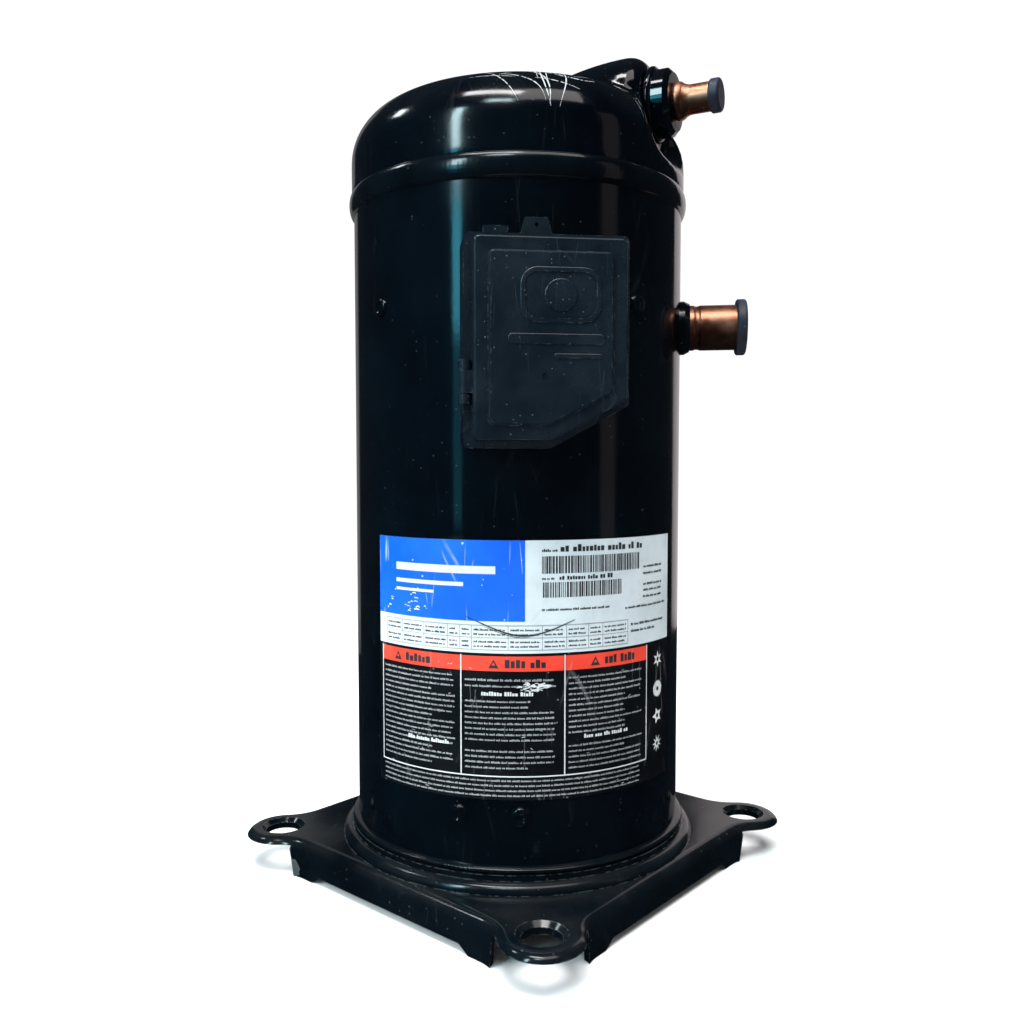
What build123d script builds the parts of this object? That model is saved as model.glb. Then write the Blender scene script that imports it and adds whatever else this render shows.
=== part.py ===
from build123d import *
from math import asin, atan2, cos, pi, radians, sin, sqrt
import os

# Hermetic scroll compressor, millimetres.
# +Z is up. The origin is on the shell axis, level with the underside of the base flanges.
# The mounting square lies along X and Y. Angles are measured from +X towards +Y.

os.makedirs("parts", exist_ok=True)

# ---------------------------------------------------------------- driving dimensions
# mounting base
HOLE_SPACING = 190.5
HOLE_R = 9.5
BASE_SIDE = 208.0
BASE_HEIGHT = 20.0
BASE_WALL = 3.5
BASE_BEND_R = 6.0
LOBE_R = 20.5
LOBE_BLEND_R = 22.0
FOOT_CUT_TOP_R = 22.7
FOOT_CUT_BOTTOM_R = 24.5
EAR_LENGTH = 20.0
EAR_DROP = 4.0
EAR_SLOPE = 6.0
COLLAR_HEIGHT = 8.0
COLLAR_BLEND_R = 5.0
HOLE_RIM_R = 12.0
HOLE_LIP_DROP = 2.0

# pressure shell
SHELL_R = 91.0
SHELL_WALL = 3.6
SHELL_BOTTOM = 12.0
SEAM_HEIGHT = 369.0
SEAM_BEAD_DROP = 7.5
SEAM_BEAD_RISE = 5.5
SEAM_BEAD_R_ADD = 2.6
BASE_BEAD = 3.4
BOTTOM_CAP_FLOOR = 4.0
BOTTOM_CAP_KNUCKLE_R = 30.0

# top cap
CAP_STEP = 1.2
CAP_WALL = 3.5
CAP_SIDE = 18.0
CAP_KNUCKLE_R = 29.0
CAP_CROWN_R = 200.0
HUMP_R = 25.0
HUMP_REACH = SHELL_R - 12.0
HUMP_NOSE_R = 11.0
HUMP_TAIL = 6.0
HUMP_TAIL_R = 13.0
POCKET_HALF = 24.0
POCKET_DEPTH = 21.0
POCKET_CORNER_R = 10.0

# discharge and suction fittings
DISCHARGE_ANGLE = 15.0
DISCHARGE_RISE = 46.0
DISCHARGE_HEIGHT = SEAM_HEIGHT + DISCHARGE_RISE
DISCHARGE_BOSS_R = 17.0
DISCHARGE_RIB_R = 19.0
DISCHARGE_BOSS_END = SHELL_R
DISCHARGE_TUBE_R = 7.3
DISCHARGE_TUBE_WALL = 0.95
DISCHARGE_TUBE_END = SHELL_R + 18.5
DISCHARGE_COLLAR_R = 9.6
SUCTION_ANGLE = 32.5
SUCTION_HEIGHT = 302.0
SUCTION_BOSS_R = 14.6
SUCTION_BOSS_END = SHELL_R + 5.0
SUCTION_TUBE_R = 12.3
SUCTION_TUBE_WALL = 1.15
SUCTION_TUBE_END = SHELL_R + 30.0
PLUG_HEAD = 5.5
SUCTION_PLUG_R = 15.2
DISCHARGE_PLUG_R = 8.4
PLUG_BODY_LENGTH = 13.0
VALVE_DISC_R = 9.0
VALVE_DISC_THICK = 1.0

# terminal box
BOX_ANGLE = -42.0
BOX_HEIGHT = 283.6
BOX_WIDTH = 70.4
BOX_TALL = 91.0
BOX_CORNER_X = 34.2
BOX_CORNER_Y = 18.3
BOX_RIM = 3.6
BOX_WALL = 2.2
BOX_BASE_FRONT = SHELL_R + 12.0
BOX_FLOOR = SHELL_R + 1.6
BOX_FLOOR_THICK = 2.6
TAB_LEFT = -12.5
TAB_WIDTH = 15.0
TAB_HEIGHT = 8.0
TAB_TAPER = 2.3
TAB_HOLE_RISE = 4.6
COVER_FRONT = SHELL_R + 24.0
COVER_RAISE = 1.6
COVER_EDGE_R = 3.0
PANEL_INSET = 6.5
HINGE_OFFSET = 3.2
HINGE_FRONT = SHELL_R + 15.0
HINGE_KNUCKLE_R = 2.7
HINGE_PIN_R = 1.2
HINGE_CENTRE = -19.0
HINGE_LENGTH = 20.0
HINGE_LUG = 4.5
TERMINAL_CUP_R = 18.4
TERMINAL_CIRCLE_R = 8.6
TERMINAL_PIN_R = 1.6
GLASS_BEAD_R = 4.2

# nameplate and plug welds
LABEL_ANGLE = -45.0
LABEL_SPAN = 111.0
LABEL_BOTTOM = 64.0
LABEL_TOP = 191.0
LABEL_THICK = 0.3
UPPER_WELD_DROP = 63.0
UPPER_WELD_HEIGHT = SEAM_HEIGHT - UPPER_WELD_DROP
UPPER_WELD_ANGLES = [-99.0, -9.0, 81.0, 171.0]
LOWER_WELD_HEIGHT = 55.5
LOWER_LEG_ANGLES = [-58.5, 61.5, 181.5]
LOWER_WELD_HALF_STEP = 9.75
WELD_R = 5.0
WELD_STAND_OUT = 1.6
WELD_ROOT_GAP = 0.3
WELD_DIMPLE = 0.9

# scroll set
ORBIT_R = 5.0
WRAP_PITCH = 18.0
WRAP_HEIGHT = 30.0
FLANK_GAP = 0.08
WRAP_START = 4.4
WRAP_END = 19.4
WRAP_POINTS = 60
ORBITING_PLATE_R = 62.0
ORBITING_PLATE_THICK = 9.0
ORBITING_HUB_R = 21.5
ORBITING_HUB_DROP = 20.0
TIP_GAP = 0.06
SKIRT_INNER_R = 64.0
SKIRT_OUTER_R = 71.0
FIXED_PLATE_THICK = 12.0
FIXED_LIFT = 0.8
SEAL_LIFT = 1.0
SEAL_GROOVE_IN = 22.0
SEAL_GROOVE_OUT = 46.0
SEAL_RING_RISE = 5.0
PORT_R = 7.0
BOLT_CIRCLE_R = 78.5
BOLT_R = 3.0
SLEEVE_R = 4.6
EAR_R = 8.0

# Oldham coupling
OLDHAM_IN = 50.0
OLDHAM_OUT = 60.0
OLDHAM_THICK = 6.0
KEY_WIDTH = 8.0
KEY_HEIGHT = 4.0

# main bearing housing
THRUST_DROP = 51.0
THRUST_HEIGHT = SEAM_HEIGHT - THRUST_DROP
THRUST_IN = 28.0
THRUST_OUT = OLDHAM_IN - 2 * ORBIT_R - 0.5
HOUSING_R = 68.0
HOUSING_RECESS = 7.5
HOUSING_FLOOR = 14.5
HOUSING_WELL = 21.0
HOUSING_HUB_R = 27.0
HOUSING_HUB_DROP = 26.0
LEG_WIDTH = 24.0
LEG_HEIGHT = 18.0

# crankshaft and motor
JOURNAL_R = 15.0
CRANK_PIN_R = 9.0
ROTOR_SEAT_R = 14.0
LOWER_JOURNAL_R = 10.0
SHAFT_BOTTOM = 34.0
BUSH_WALL = 1.6
STATOR_BOTTOM = 125.0
STACK_LENGTH = 90.0
STATOR_BORE_R = 43.0
AIR_GAP = 0.6
SLOT_COUNT = 24
SLOT_WIDTH = 6.4
SLOT_IN = 46.0
SLOT_OUT = 67.0
END_TURN = 30.0
END_RING_R = 41.0
END_RING_HEIGHT = 9.0
WEIGHT_HEIGHT = 16.0
LOWER_HUB_HEIGHT = 24.0
LOWER_HUB_R = 18.0

# fits between pieces
RUNNING = 0.05
SLIDING = 0.04
LOOSE = 0.3
SLIP = 0.1
SEAT_GAP = 0.05

# ---------------------------------------------------------------- derived places
HOLE_HALF = HOLE_SPACING / 2
SHELL_IN = SHELL_R - SHELL_WALL
MUFFLER_WALL = 3.0
CAP_BOTTOM = SEAM_HEIGHT + MUFFLER_WALL
CAP_R = SHELL_R + CAP_STEP
CAP_IN = CAP_R - CAP_WALL
KNUCKLE_HEIGHT = CAP_BOTTOM + CAP_SIDE
PLATE_UNDER = BASE_HEIGHT - BASE_WALL
COLLAR_TOP = BASE_HEIGHT + COLLAR_HEIGHT
ORBITING_TOP = THRUST_HEIGHT + ORBITING_PLATE_THICK
WRAP_TOP = ORBITING_TOP + WRAP_HEIGHT
FIXED_TOP = WRAP_TOP + FIXED_PLATE_THICK
OLDHAM_TOP = THRUST_HEIGHT - LOOSE
OLDHAM_BOTTOM = OLDHAM_TOP - OLDHAM_THICK
RECESS_FLOOR = THRUST_HEIGHT - HOUSING_RECESS
HOUSING_UNDER = RECESS_FLOOR - HOUSING_FLOOR
WELL_FLOOR = THRUST_HEIGHT - HOUSING_WELL
HOUSING_BOTTOM = WELL_FLOOR - HOUSING_HUB_DROP
LEG_BOTTOM = UPPER_WELD_HEIGHT - LEG_HEIGHT / 2
STATOR_TOP = STATOR_BOTTOM + STACK_LENGTH
ROTOR_R = STATOR_BORE_R - AIR_GAP
BASE_CIRCLE_R = WRAP_PITCH / (2 * pi)
WRAP_WALL = WRAP_PITCH / 2 - ORBIT_R - FLANK_GAP


def outward(angle, height, reach):
    """A plane facing outward at an angle round the shell axis: x runs to the right, y runs up."""
    turn = radians(angle)
    return Plane(
        origin=(reach * cos(turn), reach * sin(turn), height),
        x_dir=(-sin(turn), cos(turn), 0),
        z_dir=(cos(turn), sin(turn), 0),
    )


def round_axis(angle, height):
    """A plane that holds the axis of a radial fitting: x runs outward along the axis, y runs up."""
    turn = radians(angle)
    return Plane(
        origin=(0, 0, height),
        x_dir=(cos(turn), sin(turn), 0),
        z_dir=(sin(turn), -cos(turn), 0),
    )


def polar_point(radius, angle):
    """A plan position at an angle round the shell axis."""
    return (radius * cos(radians(angle)), radius * sin(radians(angle)))


def box_outline(grow):
    """Corners of the terminal box outline with its lower right corner cut away."""
    side = BOX_WIDTH / 2 + grow
    top = BOX_TALL / 2 + grow
    slope = grow * (sqrt(BOX_CORNER_X**2 + BOX_CORNER_Y**2) - BOX_CORNER_X) / BOX_CORNER_Y
    cut_x = BOX_WIDTH / 2 - BOX_CORNER_X + slope
    cut_y = -BOX_TALL / 2 + BOX_CORNER_Y - grow * 0.5
    return [(-side, -top), (cut_x, -top), (side, cut_y), (side, top), (-side, top)]


def involute_points(half_wall, turn):
    """Points of one flank of a scroll wrap, an involute of the base circle shifted by half the wall."""
    points = []
    for i in range(WRAP_POINTS + 1):
        phi = WRAP_START + (WRAP_END - WRAP_START) * i / WRAP_POINTS
        arm = phi + half_wall / BASE_CIRCLE_R
        x = BASE_CIRCLE_R * (cos(phi) + arm * sin(phi))
        y = BASE_CIRCLE_R * (sin(phi) - arm * cos(phi))
        points.append((x * cos(turn) - y * sin(turn), x * sin(turn) + y * cos(turn)))
    return points


# ---------------------------------------------------------------- mounting base
feet = [(x, y) for x in (-HOLE_HALF, HOLE_HALF) for y in (-HOLE_HALF, HOLE_HALF)]
skirt_end = HOLE_HALF - sqrt(FOOT_CUT_BOTTOM_R**2 - (BASE_SIDE / 2 - HOLE_HALF) ** 2)
skirt_middle = skirt_end - EAR_LENGTH
with BuildPart() as mounting_base:
    with BuildSketch(Plane.XY) as base_plan:
        Rectangle(BASE_SIDE, BASE_SIDE)
        with Locations(*feet):
            Circle(LOBE_R)
        inner_corners = base_plan.vertices().filter_by(
            lambda v: max(abs(v.X), abs(v.Y)) < BASE_SIDE / 2 + 0.01
        )
        fillet(inner_corners, LOBE_BLEND_R)
    extrude(amount=BASE_HEIGHT)
    fillet(mounting_base.faces().sort_by(Axis.Z)[-1].outer_wire().edges(), BASE_BEND_R)
    offset(amount=-BASE_WALL, openings=mounting_base.faces().sort_by(Axis.Z)[0])
    with Locations(*[(x, y, 0) for x, y in feet]):
        Cone(
            FOOT_CUT_BOTTOM_R,
            FOOT_CUT_TOP_R,
            PLATE_UNDER,
            align=(Align.CENTER, Align.CENTER, Align.MIN),
            mode=Mode.SUBTRACT,
        )
    for side_plane in (Plane.XZ, Plane.YZ):
        with BuildSketch(side_plane):
            with BuildLine():
                Polyline(
                    (-skirt_middle - EAR_SLOPE, 0),
                    (-skirt_middle, EAR_DROP),
                    (skirt_middle, EAR_DROP),
                    (skirt_middle + EAR_SLOPE, 0),
                    close=True,
                )
            make_face()
        extrude(amount=BASE_SIDE, both=True, mode=Mode.SUBTRACT)
    with BuildSketch(Plane.XZ):
        with BuildLine():
            inner = SHELL_R + SEAT_GAP
            outer = inner + BASE_WALL
            Polyline(
                (inner, PLATE_UNDER),
                (inner, COLLAR_TOP),
                (outer, COLLAR_TOP),
                (outer, BASE_HEIGHT + COLLAR_BLEND_R),
            )
            RadiusArc(
                (outer, BASE_HEIGHT + COLLAR_BLEND_R),
                (outer + COLLAR_BLEND_R, BASE_HEIGHT),
                COLLAR_BLEND_R,
            )
            Polyline(
                (outer + COLLAR_BLEND_R, BASE_HEIGHT),
                (outer + COLLAR_BLEND_R, PLATE_UNDER),
                (inner, PLATE_UNDER),
            )
        make_face()
    revolve(axis=Axis.Z)
    with Locations((0, 0, 0)):
        Cylinder(
            SHELL_R + SEAT_GAP,
            COLLAR_TOP,
            align=(Align.CENTER, Align.CENTER, Align.MIN),
            mode=Mode.SUBTRACT,
        )
    with Locations(*[(x, y, PLATE_UNDER - HOLE_LIP_DROP) for x, y in feet]):
        Cylinder(
            HOLE_RIM_R,
            HOLE_LIP_DROP,
            align=(Align.CENTER, Align.CENTER, Align.MIN),
        )
    with Locations(*[(x, y, BASE_HEIGHT) for x, y in feet]):
        CounterSinkHole(HOLE_R, HOLE_RIM_R, counter_sink_angle=100)
mounting_base.part.label = "mounting_base"

# ---------------------------------------------------------------- pressure shell
welds = [(angle, UPPER_WELD_HEIGHT) for angle in UPPER_WELD_ANGLES]
lower_welds = [
    (angle + side * LOWER_WELD_HALF_STEP, LOWER_WELD_HEIGHT)
    for angle in LOWER_LEG_ANGLES
    for side in (-1, 1)
]
with BuildPart() as center_shell:
    with BuildSketch(Plane.XY.offset(SHELL_BOTTOM)):
        Circle(SHELL_R)
        Circle(SHELL_IN, mode=Mode.SUBTRACT)
    extrude(amount=SEAM_HEIGHT - SHELL_BOTTOM)
    for angle, height in welds + lower_welds:
        with BuildSketch(outward(angle, height, SHELL_IN - SHELL_WALL)):
            Circle(WELD_R)
        extrude(amount=3 * SHELL_WALL, mode=Mode.SUBTRACT)
    with BuildSketch(outward(SUCTION_ANGLE, SUCTION_HEIGHT, SHELL_R / 2)):
        Circle(SUCTION_BOSS_R)
    extrude(amount=SHELL_R, mode=Mode.SUBTRACT)
    with BuildSketch(outward(BOX_ANGLE, BOX_HEIGHT, SHELL_R / 2)):
        Circle(TERMINAL_CUP_R + SEAT_GAP)
    extrude(amount=SHELL_R, mode=Mode.SUBTRACT)
center_shell.part.label = "center_shell"

with BuildPart() as bottom_cap:
    with BuildSketch(Plane.XZ):
        with BuildLine():
            floor_r = SHELL_IN - BOTTOM_CAP_KNUCKLE_R
            knuckle_z = BOTTOM_CAP_FLOOR + BOTTOM_CAP_KNUCKLE_R
            skirt_top = BOTTOM_CAP_FLOOR + BOTTOM_CAP_KNUCKLE_R + SHELL_WALL
            Line((0, BOTTOM_CAP_FLOOR), (floor_r, BOTTOM_CAP_FLOOR))
            RadiusArc((floor_r, BOTTOM_CAP_FLOOR), (SHELL_IN, knuckle_z), -BOTTOM_CAP_KNUCKLE_R)
            Polyline(
                (SHELL_IN, knuckle_z),
                (SHELL_IN, skirt_top),
                (SHELL_IN - SHELL_WALL, skirt_top),
                (SHELL_IN - SHELL_WALL, knuckle_z),
            )
            RadiusArc(
                (SHELL_IN - SHELL_WALL, knuckle_z),
                (floor_r, BOTTOM_CAP_FLOOR + SHELL_WALL),
                BOTTOM_CAP_KNUCKLE_R - SHELL_WALL,
            )
            Polyline(
                (floor_r, BOTTOM_CAP_FLOOR + SHELL_WALL),
                (0, BOTTOM_CAP_FLOOR + SHELL_WALL),
                (0, BOTTOM_CAP_FLOOR),
            )
        make_face()
    revolve(axis=Axis.Z)
bottom_cap.part.label = "bottom_cap"


def cap_profile(radius, knuckle, crown):
    """Half outline of a dished cap: side, knuckle arc and crown arc, closed along the axis."""
    ring = radius - knuckle
    crown_centre = KNUCKLE_HEIGHT - sqrt((crown - knuckle) ** 2 - ring**2)
    tilt = atan2(KNUCKLE_HEIGHT - crown_centre, ring)
    meet = (crown * cos(tilt), crown_centre + crown * sin(tilt))
    top = (0, crown_centre + crown)
    Polyline((0, CAP_BOTTOM), (radius, CAP_BOTTOM), (radius, KNUCKLE_HEIGHT))
    RadiusArc((radius, KNUCKLE_HEIGHT), meet, -knuckle)
    RadiusArc(meet, top, -crown)
    Line(top, (0, CAP_BOTTOM))


def hump_profile(radius, reach, nose):
    """Half outline of the raised discharge housing: a teardrop along the port axis with a round nose."""
    tail = (HUMP_TAIL, radius - HUMP_R + HUMP_TAIL_R)
    shoulder = (reach - nose, radius)
    Polyline(tail, (HUMP_TAIL, 0), (reach, 0), (reach, radius - nose))
    RadiusArc((reach, radius - nose), shoulder, -nose)
    TangentArc(shoulder, tail, tangent=(-1, 0))


discharge_plane = round_axis(DISCHARGE_ANGLE, DISCHARGE_HEIGHT)
discharge_axis = Axis((0, 0, DISCHARGE_HEIGHT), discharge_plane.x_dir)


def pocket_plan(wall):
    """Plan of the flat sunk in the cap round the discharge port, grown for the inside of the wall."""
    grow = wall * (sqrt(2) - 1)
    top = POCKET_DEPTH + HUMP_R
    with BuildSketch(outward(DISCHARGE_ANGLE, DISCHARGE_HEIGHT, HUMP_REACH - wall)) as plan:
        with Locations((0, (top - POCKET_DEPTH - grow) / 2)):
            RectangleRounded(2 * (POCKET_HALF + grow), top + POCKET_DEPTH + grow, POCKET_CORNER_R)
    return plan.sketch


with BuildPart() as cap_hollow:
    with BuildSketch(Plane.XZ):
        with BuildLine():
            cap_profile(CAP_IN, CAP_KNUCKLE_R - CAP_WALL, CAP_CROWN_R - CAP_WALL)
        make_face()
    revolve(axis=Axis.Z)
    extrude(pocket_plan(CAP_WALL), amount=CAP_R, taper=-45, mode=Mode.SUBTRACT)
    with BuildSketch(discharge_plane):
        with BuildLine():
            hump_profile(HUMP_R - CAP_WALL, HUMP_REACH - CAP_WALL, HUMP_NOSE_R - CAP_WALL)
        make_face()
    revolve(axis=discharge_axis)

with BuildPart() as top_cap:
    with BuildSketch(Plane.XZ):
        with BuildLine():
            cap_profile(CAP_R, CAP_KNUCKLE_R, CAP_CROWN_R)
        make_face()
    revolve(axis=Axis.Z)
    extrude(pocket_plan(0), amount=CAP_R, taper=-45, mode=Mode.SUBTRACT)
    with BuildSketch(discharge_plane):
        with BuildLine():
            hump_profile(HUMP_R, HUMP_REACH, HUMP_NOSE_R)
        make_face()
    revolve(axis=discharge_axis)
    add(cap_hollow.part, mode=Mode.SUBTRACT)
    with BuildSketch(outward(DISCHARGE_ANGLE, DISCHARGE_HEIGHT, HUMP_REACH - 2 * CAP_WALL)):
        Circle(DISCHARGE_BOSS_R - CAP_WALL)
    extrude(amount=3 * CAP_WALL, mode=Mode.SUBTRACT)
top_cap.part.label = "top_cap"


# ---------------------------------------------------------------- seams and welds
with BuildPart() as seam_weld:
    with BuildSketch(Plane.XZ):
        with BuildLine():
            bead_low = (SHELL_R, SEAM_HEIGHT - SEAM_BEAD_DROP)
            bead_high = (CAP_R, CAP_BOTTOM + SEAM_BEAD_RISE - MUFFLER_WALL)
            bead_crest = (SHELL_R + SEAM_BEAD_R_ADD, SEAM_HEIGHT + MUFFLER_WALL / 2)
            ThreePointArc(bead_low, (SHELL_R + SEAM_BEAD_R_ADD * 0.72, SEAM_HEIGHT - 3), bead_crest)
            Line(bead_crest, bead_high)
            Polyline(bead_high, (CAP_R, CAP_BOTTOM), (SHELL_R, CAP_BOTTOM), bead_low)
        make_face()
    revolve(axis=Axis.Z)
seam_weld.part.label = "seam_weld"

with BuildPart() as base_weld:
    with BuildSketch(Plane.XZ):
        with BuildLine():
            toe_high = (SHELL_R, COLLAR_TOP + BASE_BEAD)
            toe_low = (SHELL_R + BASE_BEAD, COLLAR_TOP)
            ThreePointArc(toe_high, (SHELL_R + BASE_BEAD * 0.62, COLLAR_TOP + BASE_BEAD * 0.62), toe_low)
            Polyline(toe_low, (SHELL_R, COLLAR_TOP), toe_high)
        make_face()
    revolve(axis=Axis.Z)
base_weld.part.label = "base_weld"


def plug_weld_profile():
    """Half outline of a plug weld: a button through the shell with a proud rim and a round dimple."""
    root = SHELL_IN + WELD_ROOT_GAP
    crown = SHELL_R + WELD_STAND_OUT
    rim = WELD_R * 0.55
    dimple_r = (rim**2 + WELD_DIMPLE**2) / (2 * WELD_DIMPLE)
    half_angle = asin(rim / dimple_r) / 2
    dimple_mid = (
        crown - WELD_DIMPLE + dimple_r * (1 - cos(half_angle)),
        dimple_r * sin(half_angle),
    )
    Polyline((root, 0), (root, WELD_R), (SHELL_R, WELD_R))
    ThreePointArc((SHELL_R, WELD_R), (crown - 0.5, WELD_R * 0.86), (crown, rim))
    ThreePointArc((crown, rim), dimple_mid, (crown - WELD_DIMPLE, 0))
    Line((crown - WELD_DIMPLE, 0), (root, 0))


with BuildPart() as upper_plug_welds:
    for angle in UPPER_WELD_ANGLES:
        weld_plane = round_axis(angle, UPPER_WELD_HEIGHT)
        with BuildSketch(weld_plane):
            with BuildLine():
                plug_weld_profile()
            make_face()
        revolve(axis=Axis((0, 0, UPPER_WELD_HEIGHT), weld_plane.x_dir))
upper_plug_welds.part.label = "upper_plug_welds"

with BuildPart() as lower_plug_welds:
    for angle, height in lower_welds:
        weld_plane = round_axis(angle, height)
        with BuildSketch(weld_plane):
            with BuildLine():
                plug_weld_profile()
            make_face()
        revolve(axis=Axis((0, 0, height), weld_plane.x_dir))
lower_plug_welds.part.label = "lower_plug_welds"

# ---------------------------------------------------------------- nameplate
with BuildPart() as nameplate:
    with BuildSketch(Plane.XY.offset(LABEL_BOTTOM)):
        with BuildLine():
            start = LABEL_ANGLE - LABEL_SPAN / 2
            CenterArc((0, 0), SHELL_R, start, LABEL_SPAN)
            CenterArc((0, 0), SHELL_R + LABEL_THICK, start, LABEL_SPAN)
            for edge_angle in (start, start + LABEL_SPAN):
                Line(polar_point(SHELL_R, edge_angle), polar_point(SHELL_R + LABEL_THICK, edge_angle))
        make_face()
    extrude(amount=LABEL_TOP - LABEL_BOTTOM)
nameplate.part.label = "nameplate"

# ---------------------------------------------------------------- discharge fitting
with BuildPart() as discharge_boss:
    with BuildSketch(discharge_plane):
        with BuildLine():
            boss_in = DISCHARGE_BOSS_R - CAP_WALL
            rib_in = HUMP_REACH
            rib_out = HUMP_REACH + 3.4
            Polyline(
                (HUMP_REACH - CAP_WALL - 4, 0),
                (HUMP_REACH - CAP_WALL - 4, boss_in),
                (rib_in, boss_in),
                (rib_in, DISCHARGE_RIB_R - 1),
            )
            ThreePointArc(
                (rib_in, DISCHARGE_RIB_R - 1),
                (rib_in + 1.6, DISCHARGE_RIB_R),
                (rib_out, DISCHARGE_BOSS_R),
            )
            Polyline(
                (rib_out, DISCHARGE_BOSS_R),
                (DISCHARGE_BOSS_END - 2.5, DISCHARGE_BOSS_R),
                (DISCHARGE_BOSS_END, DISCHARGE_BOSS_R - 2.5),
                (DISCHARGE_BOSS_END, 0),
                (HUMP_REACH - CAP_WALL - 4, 0),
            )
        make_face()
    revolve(axis=discharge_axis)
    with BuildSketch(outward(DISCHARGE_ANGLE, DISCHARGE_HEIGHT, HUMP_REACH - CAP_WALL - 4)):
        Circle(DISCHARGE_BOSS_R - 2 * CAP_WALL + 1.5)
    extrude(amount=11.5, mode=Mode.SUBTRACT)
    with BuildSketch(outward(DISCHARGE_ANGLE, DISCHARGE_HEIGHT, HUMP_REACH)):
        Circle(DISCHARGE_TUBE_R)
    extrude(amount=CAP_R, mode=Mode.SUBTRACT)
discharge_boss.part.label = "discharge_boss"

VALVE_SEAT_FACE = HUMP_REACH - CAP_WALL - 1.0
with BuildPart() as check_valve_seat:
    with BuildSketch(discharge_plane):
        with BuildLine():
            Polyline(
                (VALVE_SEAT_FACE - 3, DISCHARGE_TUBE_R - 1),
                (VALVE_SEAT_FACE, DISCHARGE_TUBE_R - 1),
                (VALVE_SEAT_FACE, DISCHARGE_BOSS_R - 2 * CAP_WALL + 1.5),
                (VALVE_SEAT_FACE - 3, DISCHARGE_BOSS_R - 2 * CAP_WALL + 1.5),
                close=True,
            )
        make_face()
    revolve(axis=discharge_axis)
check_valve_seat.part.label = "check_valve_seat"

with BuildPart() as check_valve_disc:
    with BuildSketch(outward(DISCHARGE_ANGLE, DISCHARGE_HEIGHT, VALVE_SEAT_FACE)):
        Circle(VALVE_DISC_R)
    extrude(amount=VALVE_DISC_THICK)
check_valve_disc.part.label = "check_valve_disc"


def tube_profile(radius, wall, start, collar_r, collar_end, neck_end, end):
    """Half section of a stub tube whose root swells into a collar that seats on its boss."""
    inner = radius - wall
    Polyline((start, inner), (start, radius - SEAT_GAP), (collar_end - 5, radius - SEAT_GAP))
    Polyline((collar_end - 5, radius - SEAT_GAP), (collar_end - 5, collar_r - 0.8))
    ThreePointArc(
        (collar_end - 5, collar_r - 0.8),
        (collar_end - 2.2, collar_r),
        (collar_end, collar_r - 1.2),
    )
    ThreePointArc(
        (collar_end, collar_r - 1.2),
        ((collar_end + neck_end) / 2 - 0.6, (collar_r + radius) / 2 - 0.7),
        (neck_end, radius),
    )
    Polyline((neck_end, radius), (end, radius), (end, inner), (start, inner))


with BuildPart() as discharge_tube:
    with BuildSketch(discharge_plane):
        with BuildLine():
            tube_profile(
                DISCHARGE_TUBE_R,
                DISCHARGE_TUBE_WALL,
                DISCHARGE_BOSS_END - 7,
                DISCHARGE_COLLAR_R,
                DISCHARGE_BOSS_END + 5,
                DISCHARGE_BOSS_END + 9,
                DISCHARGE_TUBE_END,
            )
        make_face()
    revolve(axis=discharge_axis)
discharge_tube.part.label = "discharge_tube"

# ---------------------------------------------------------------- suction fitting
suction_plane = round_axis(SUCTION_ANGLE, SUCTION_HEIGHT)
suction_axis = Axis((0, 0, SUCTION_HEIGHT), suction_plane.x_dir)
SUCTION_START = SHELL_IN - 2.0
with BuildPart() as suction_boss:
    with BuildSketch(suction_plane):
        with BuildLine():
            Polyline(
                (SUCTION_START, SUCTION_TUBE_R + SEAT_GAP),
                (SUCTION_START, SUCTION_BOSS_R),
                (SHELL_R + 2.2, SUCTION_BOSS_R),
                (SUCTION_BOSS_END, SUCTION_BOSS_R - 1.4),
                (SUCTION_BOSS_END, SUCTION_TUBE_R + SEAT_GAP),
                close=True,
            )
        make_face()
    revolve(axis=suction_axis)
suction_boss.part.label = "suction_boss"

with BuildPart() as suction_tube:
    with BuildSketch(suction_plane):
        with BuildLine():
            inner = SUCTION_TUBE_R - SUCTION_TUBE_WALL
            waist = SUCTION_BOSS_END + 2.2
            Polyline((SUCTION_START, inner), (SUCTION_START, SUCTION_TUBE_R), (waist, SUCTION_TUBE_R))
            ThreePointArc(
                (waist, SUCTION_TUBE_R),
                (waist + 1.8, SUCTION_TUBE_R - 0.5),
                (waist + 3.6, SUCTION_TUBE_R),
            )
            Polyline(
                (waist + 3.6, SUCTION_TUBE_R),
                (SUCTION_TUBE_END, SUCTION_TUBE_R),
                (SUCTION_TUBE_END, inner),
                (SUCTION_START, inner),
            )
        make_face()
    revolve(axis=suction_axis)
suction_tube.part.label = "suction_tube"


def plug_profile(tube_end, bore_r, head_r):
    """Half outline of a rubber plug: a tapered body with two ribs, and a round-edged head."""
    body = tube_end - PLUG_BODY_LENGTH
    rib = bore_r - SLIP
    core = bore_r - 0.9
    points = [(body, 0), (body, core - 0.8), (body + 1.5, core)]
    for rib_start in (body + 3, body + 7.5):
        points += [
            (rib_start, core),
            (rib_start + 0.8, rib),
            (rib_start + 1.8, rib),
            (rib_start + 2.4, core),
        ]
    points += [(tube_end + SEAT_GAP, core), (tube_end + SEAT_GAP, head_r - 0.7)]
    points += [(tube_end + 0.8, head_r), (tube_end + PLUG_HEAD - 1.3, head_r)]
    Polyline(*points)
    head_top = tube_end + PLUG_HEAD
    ThreePointArc(points[-1], (head_top - 0.4, head_r - 0.45), (head_top, head_r - 1.5))
    Polyline((head_top, head_r - 1.5), (head_top, 0), points[0])


with BuildPart() as suction_plug:
    with BuildSketch(suction_plane):
        with BuildLine():
            plug_profile(SUCTION_TUBE_END, SUCTION_TUBE_R - SUCTION_TUBE_WALL, SUCTION_PLUG_R)
        make_face()
    revolve(axis=suction_axis)
suction_plug.part.label = "suction_plug"

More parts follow.
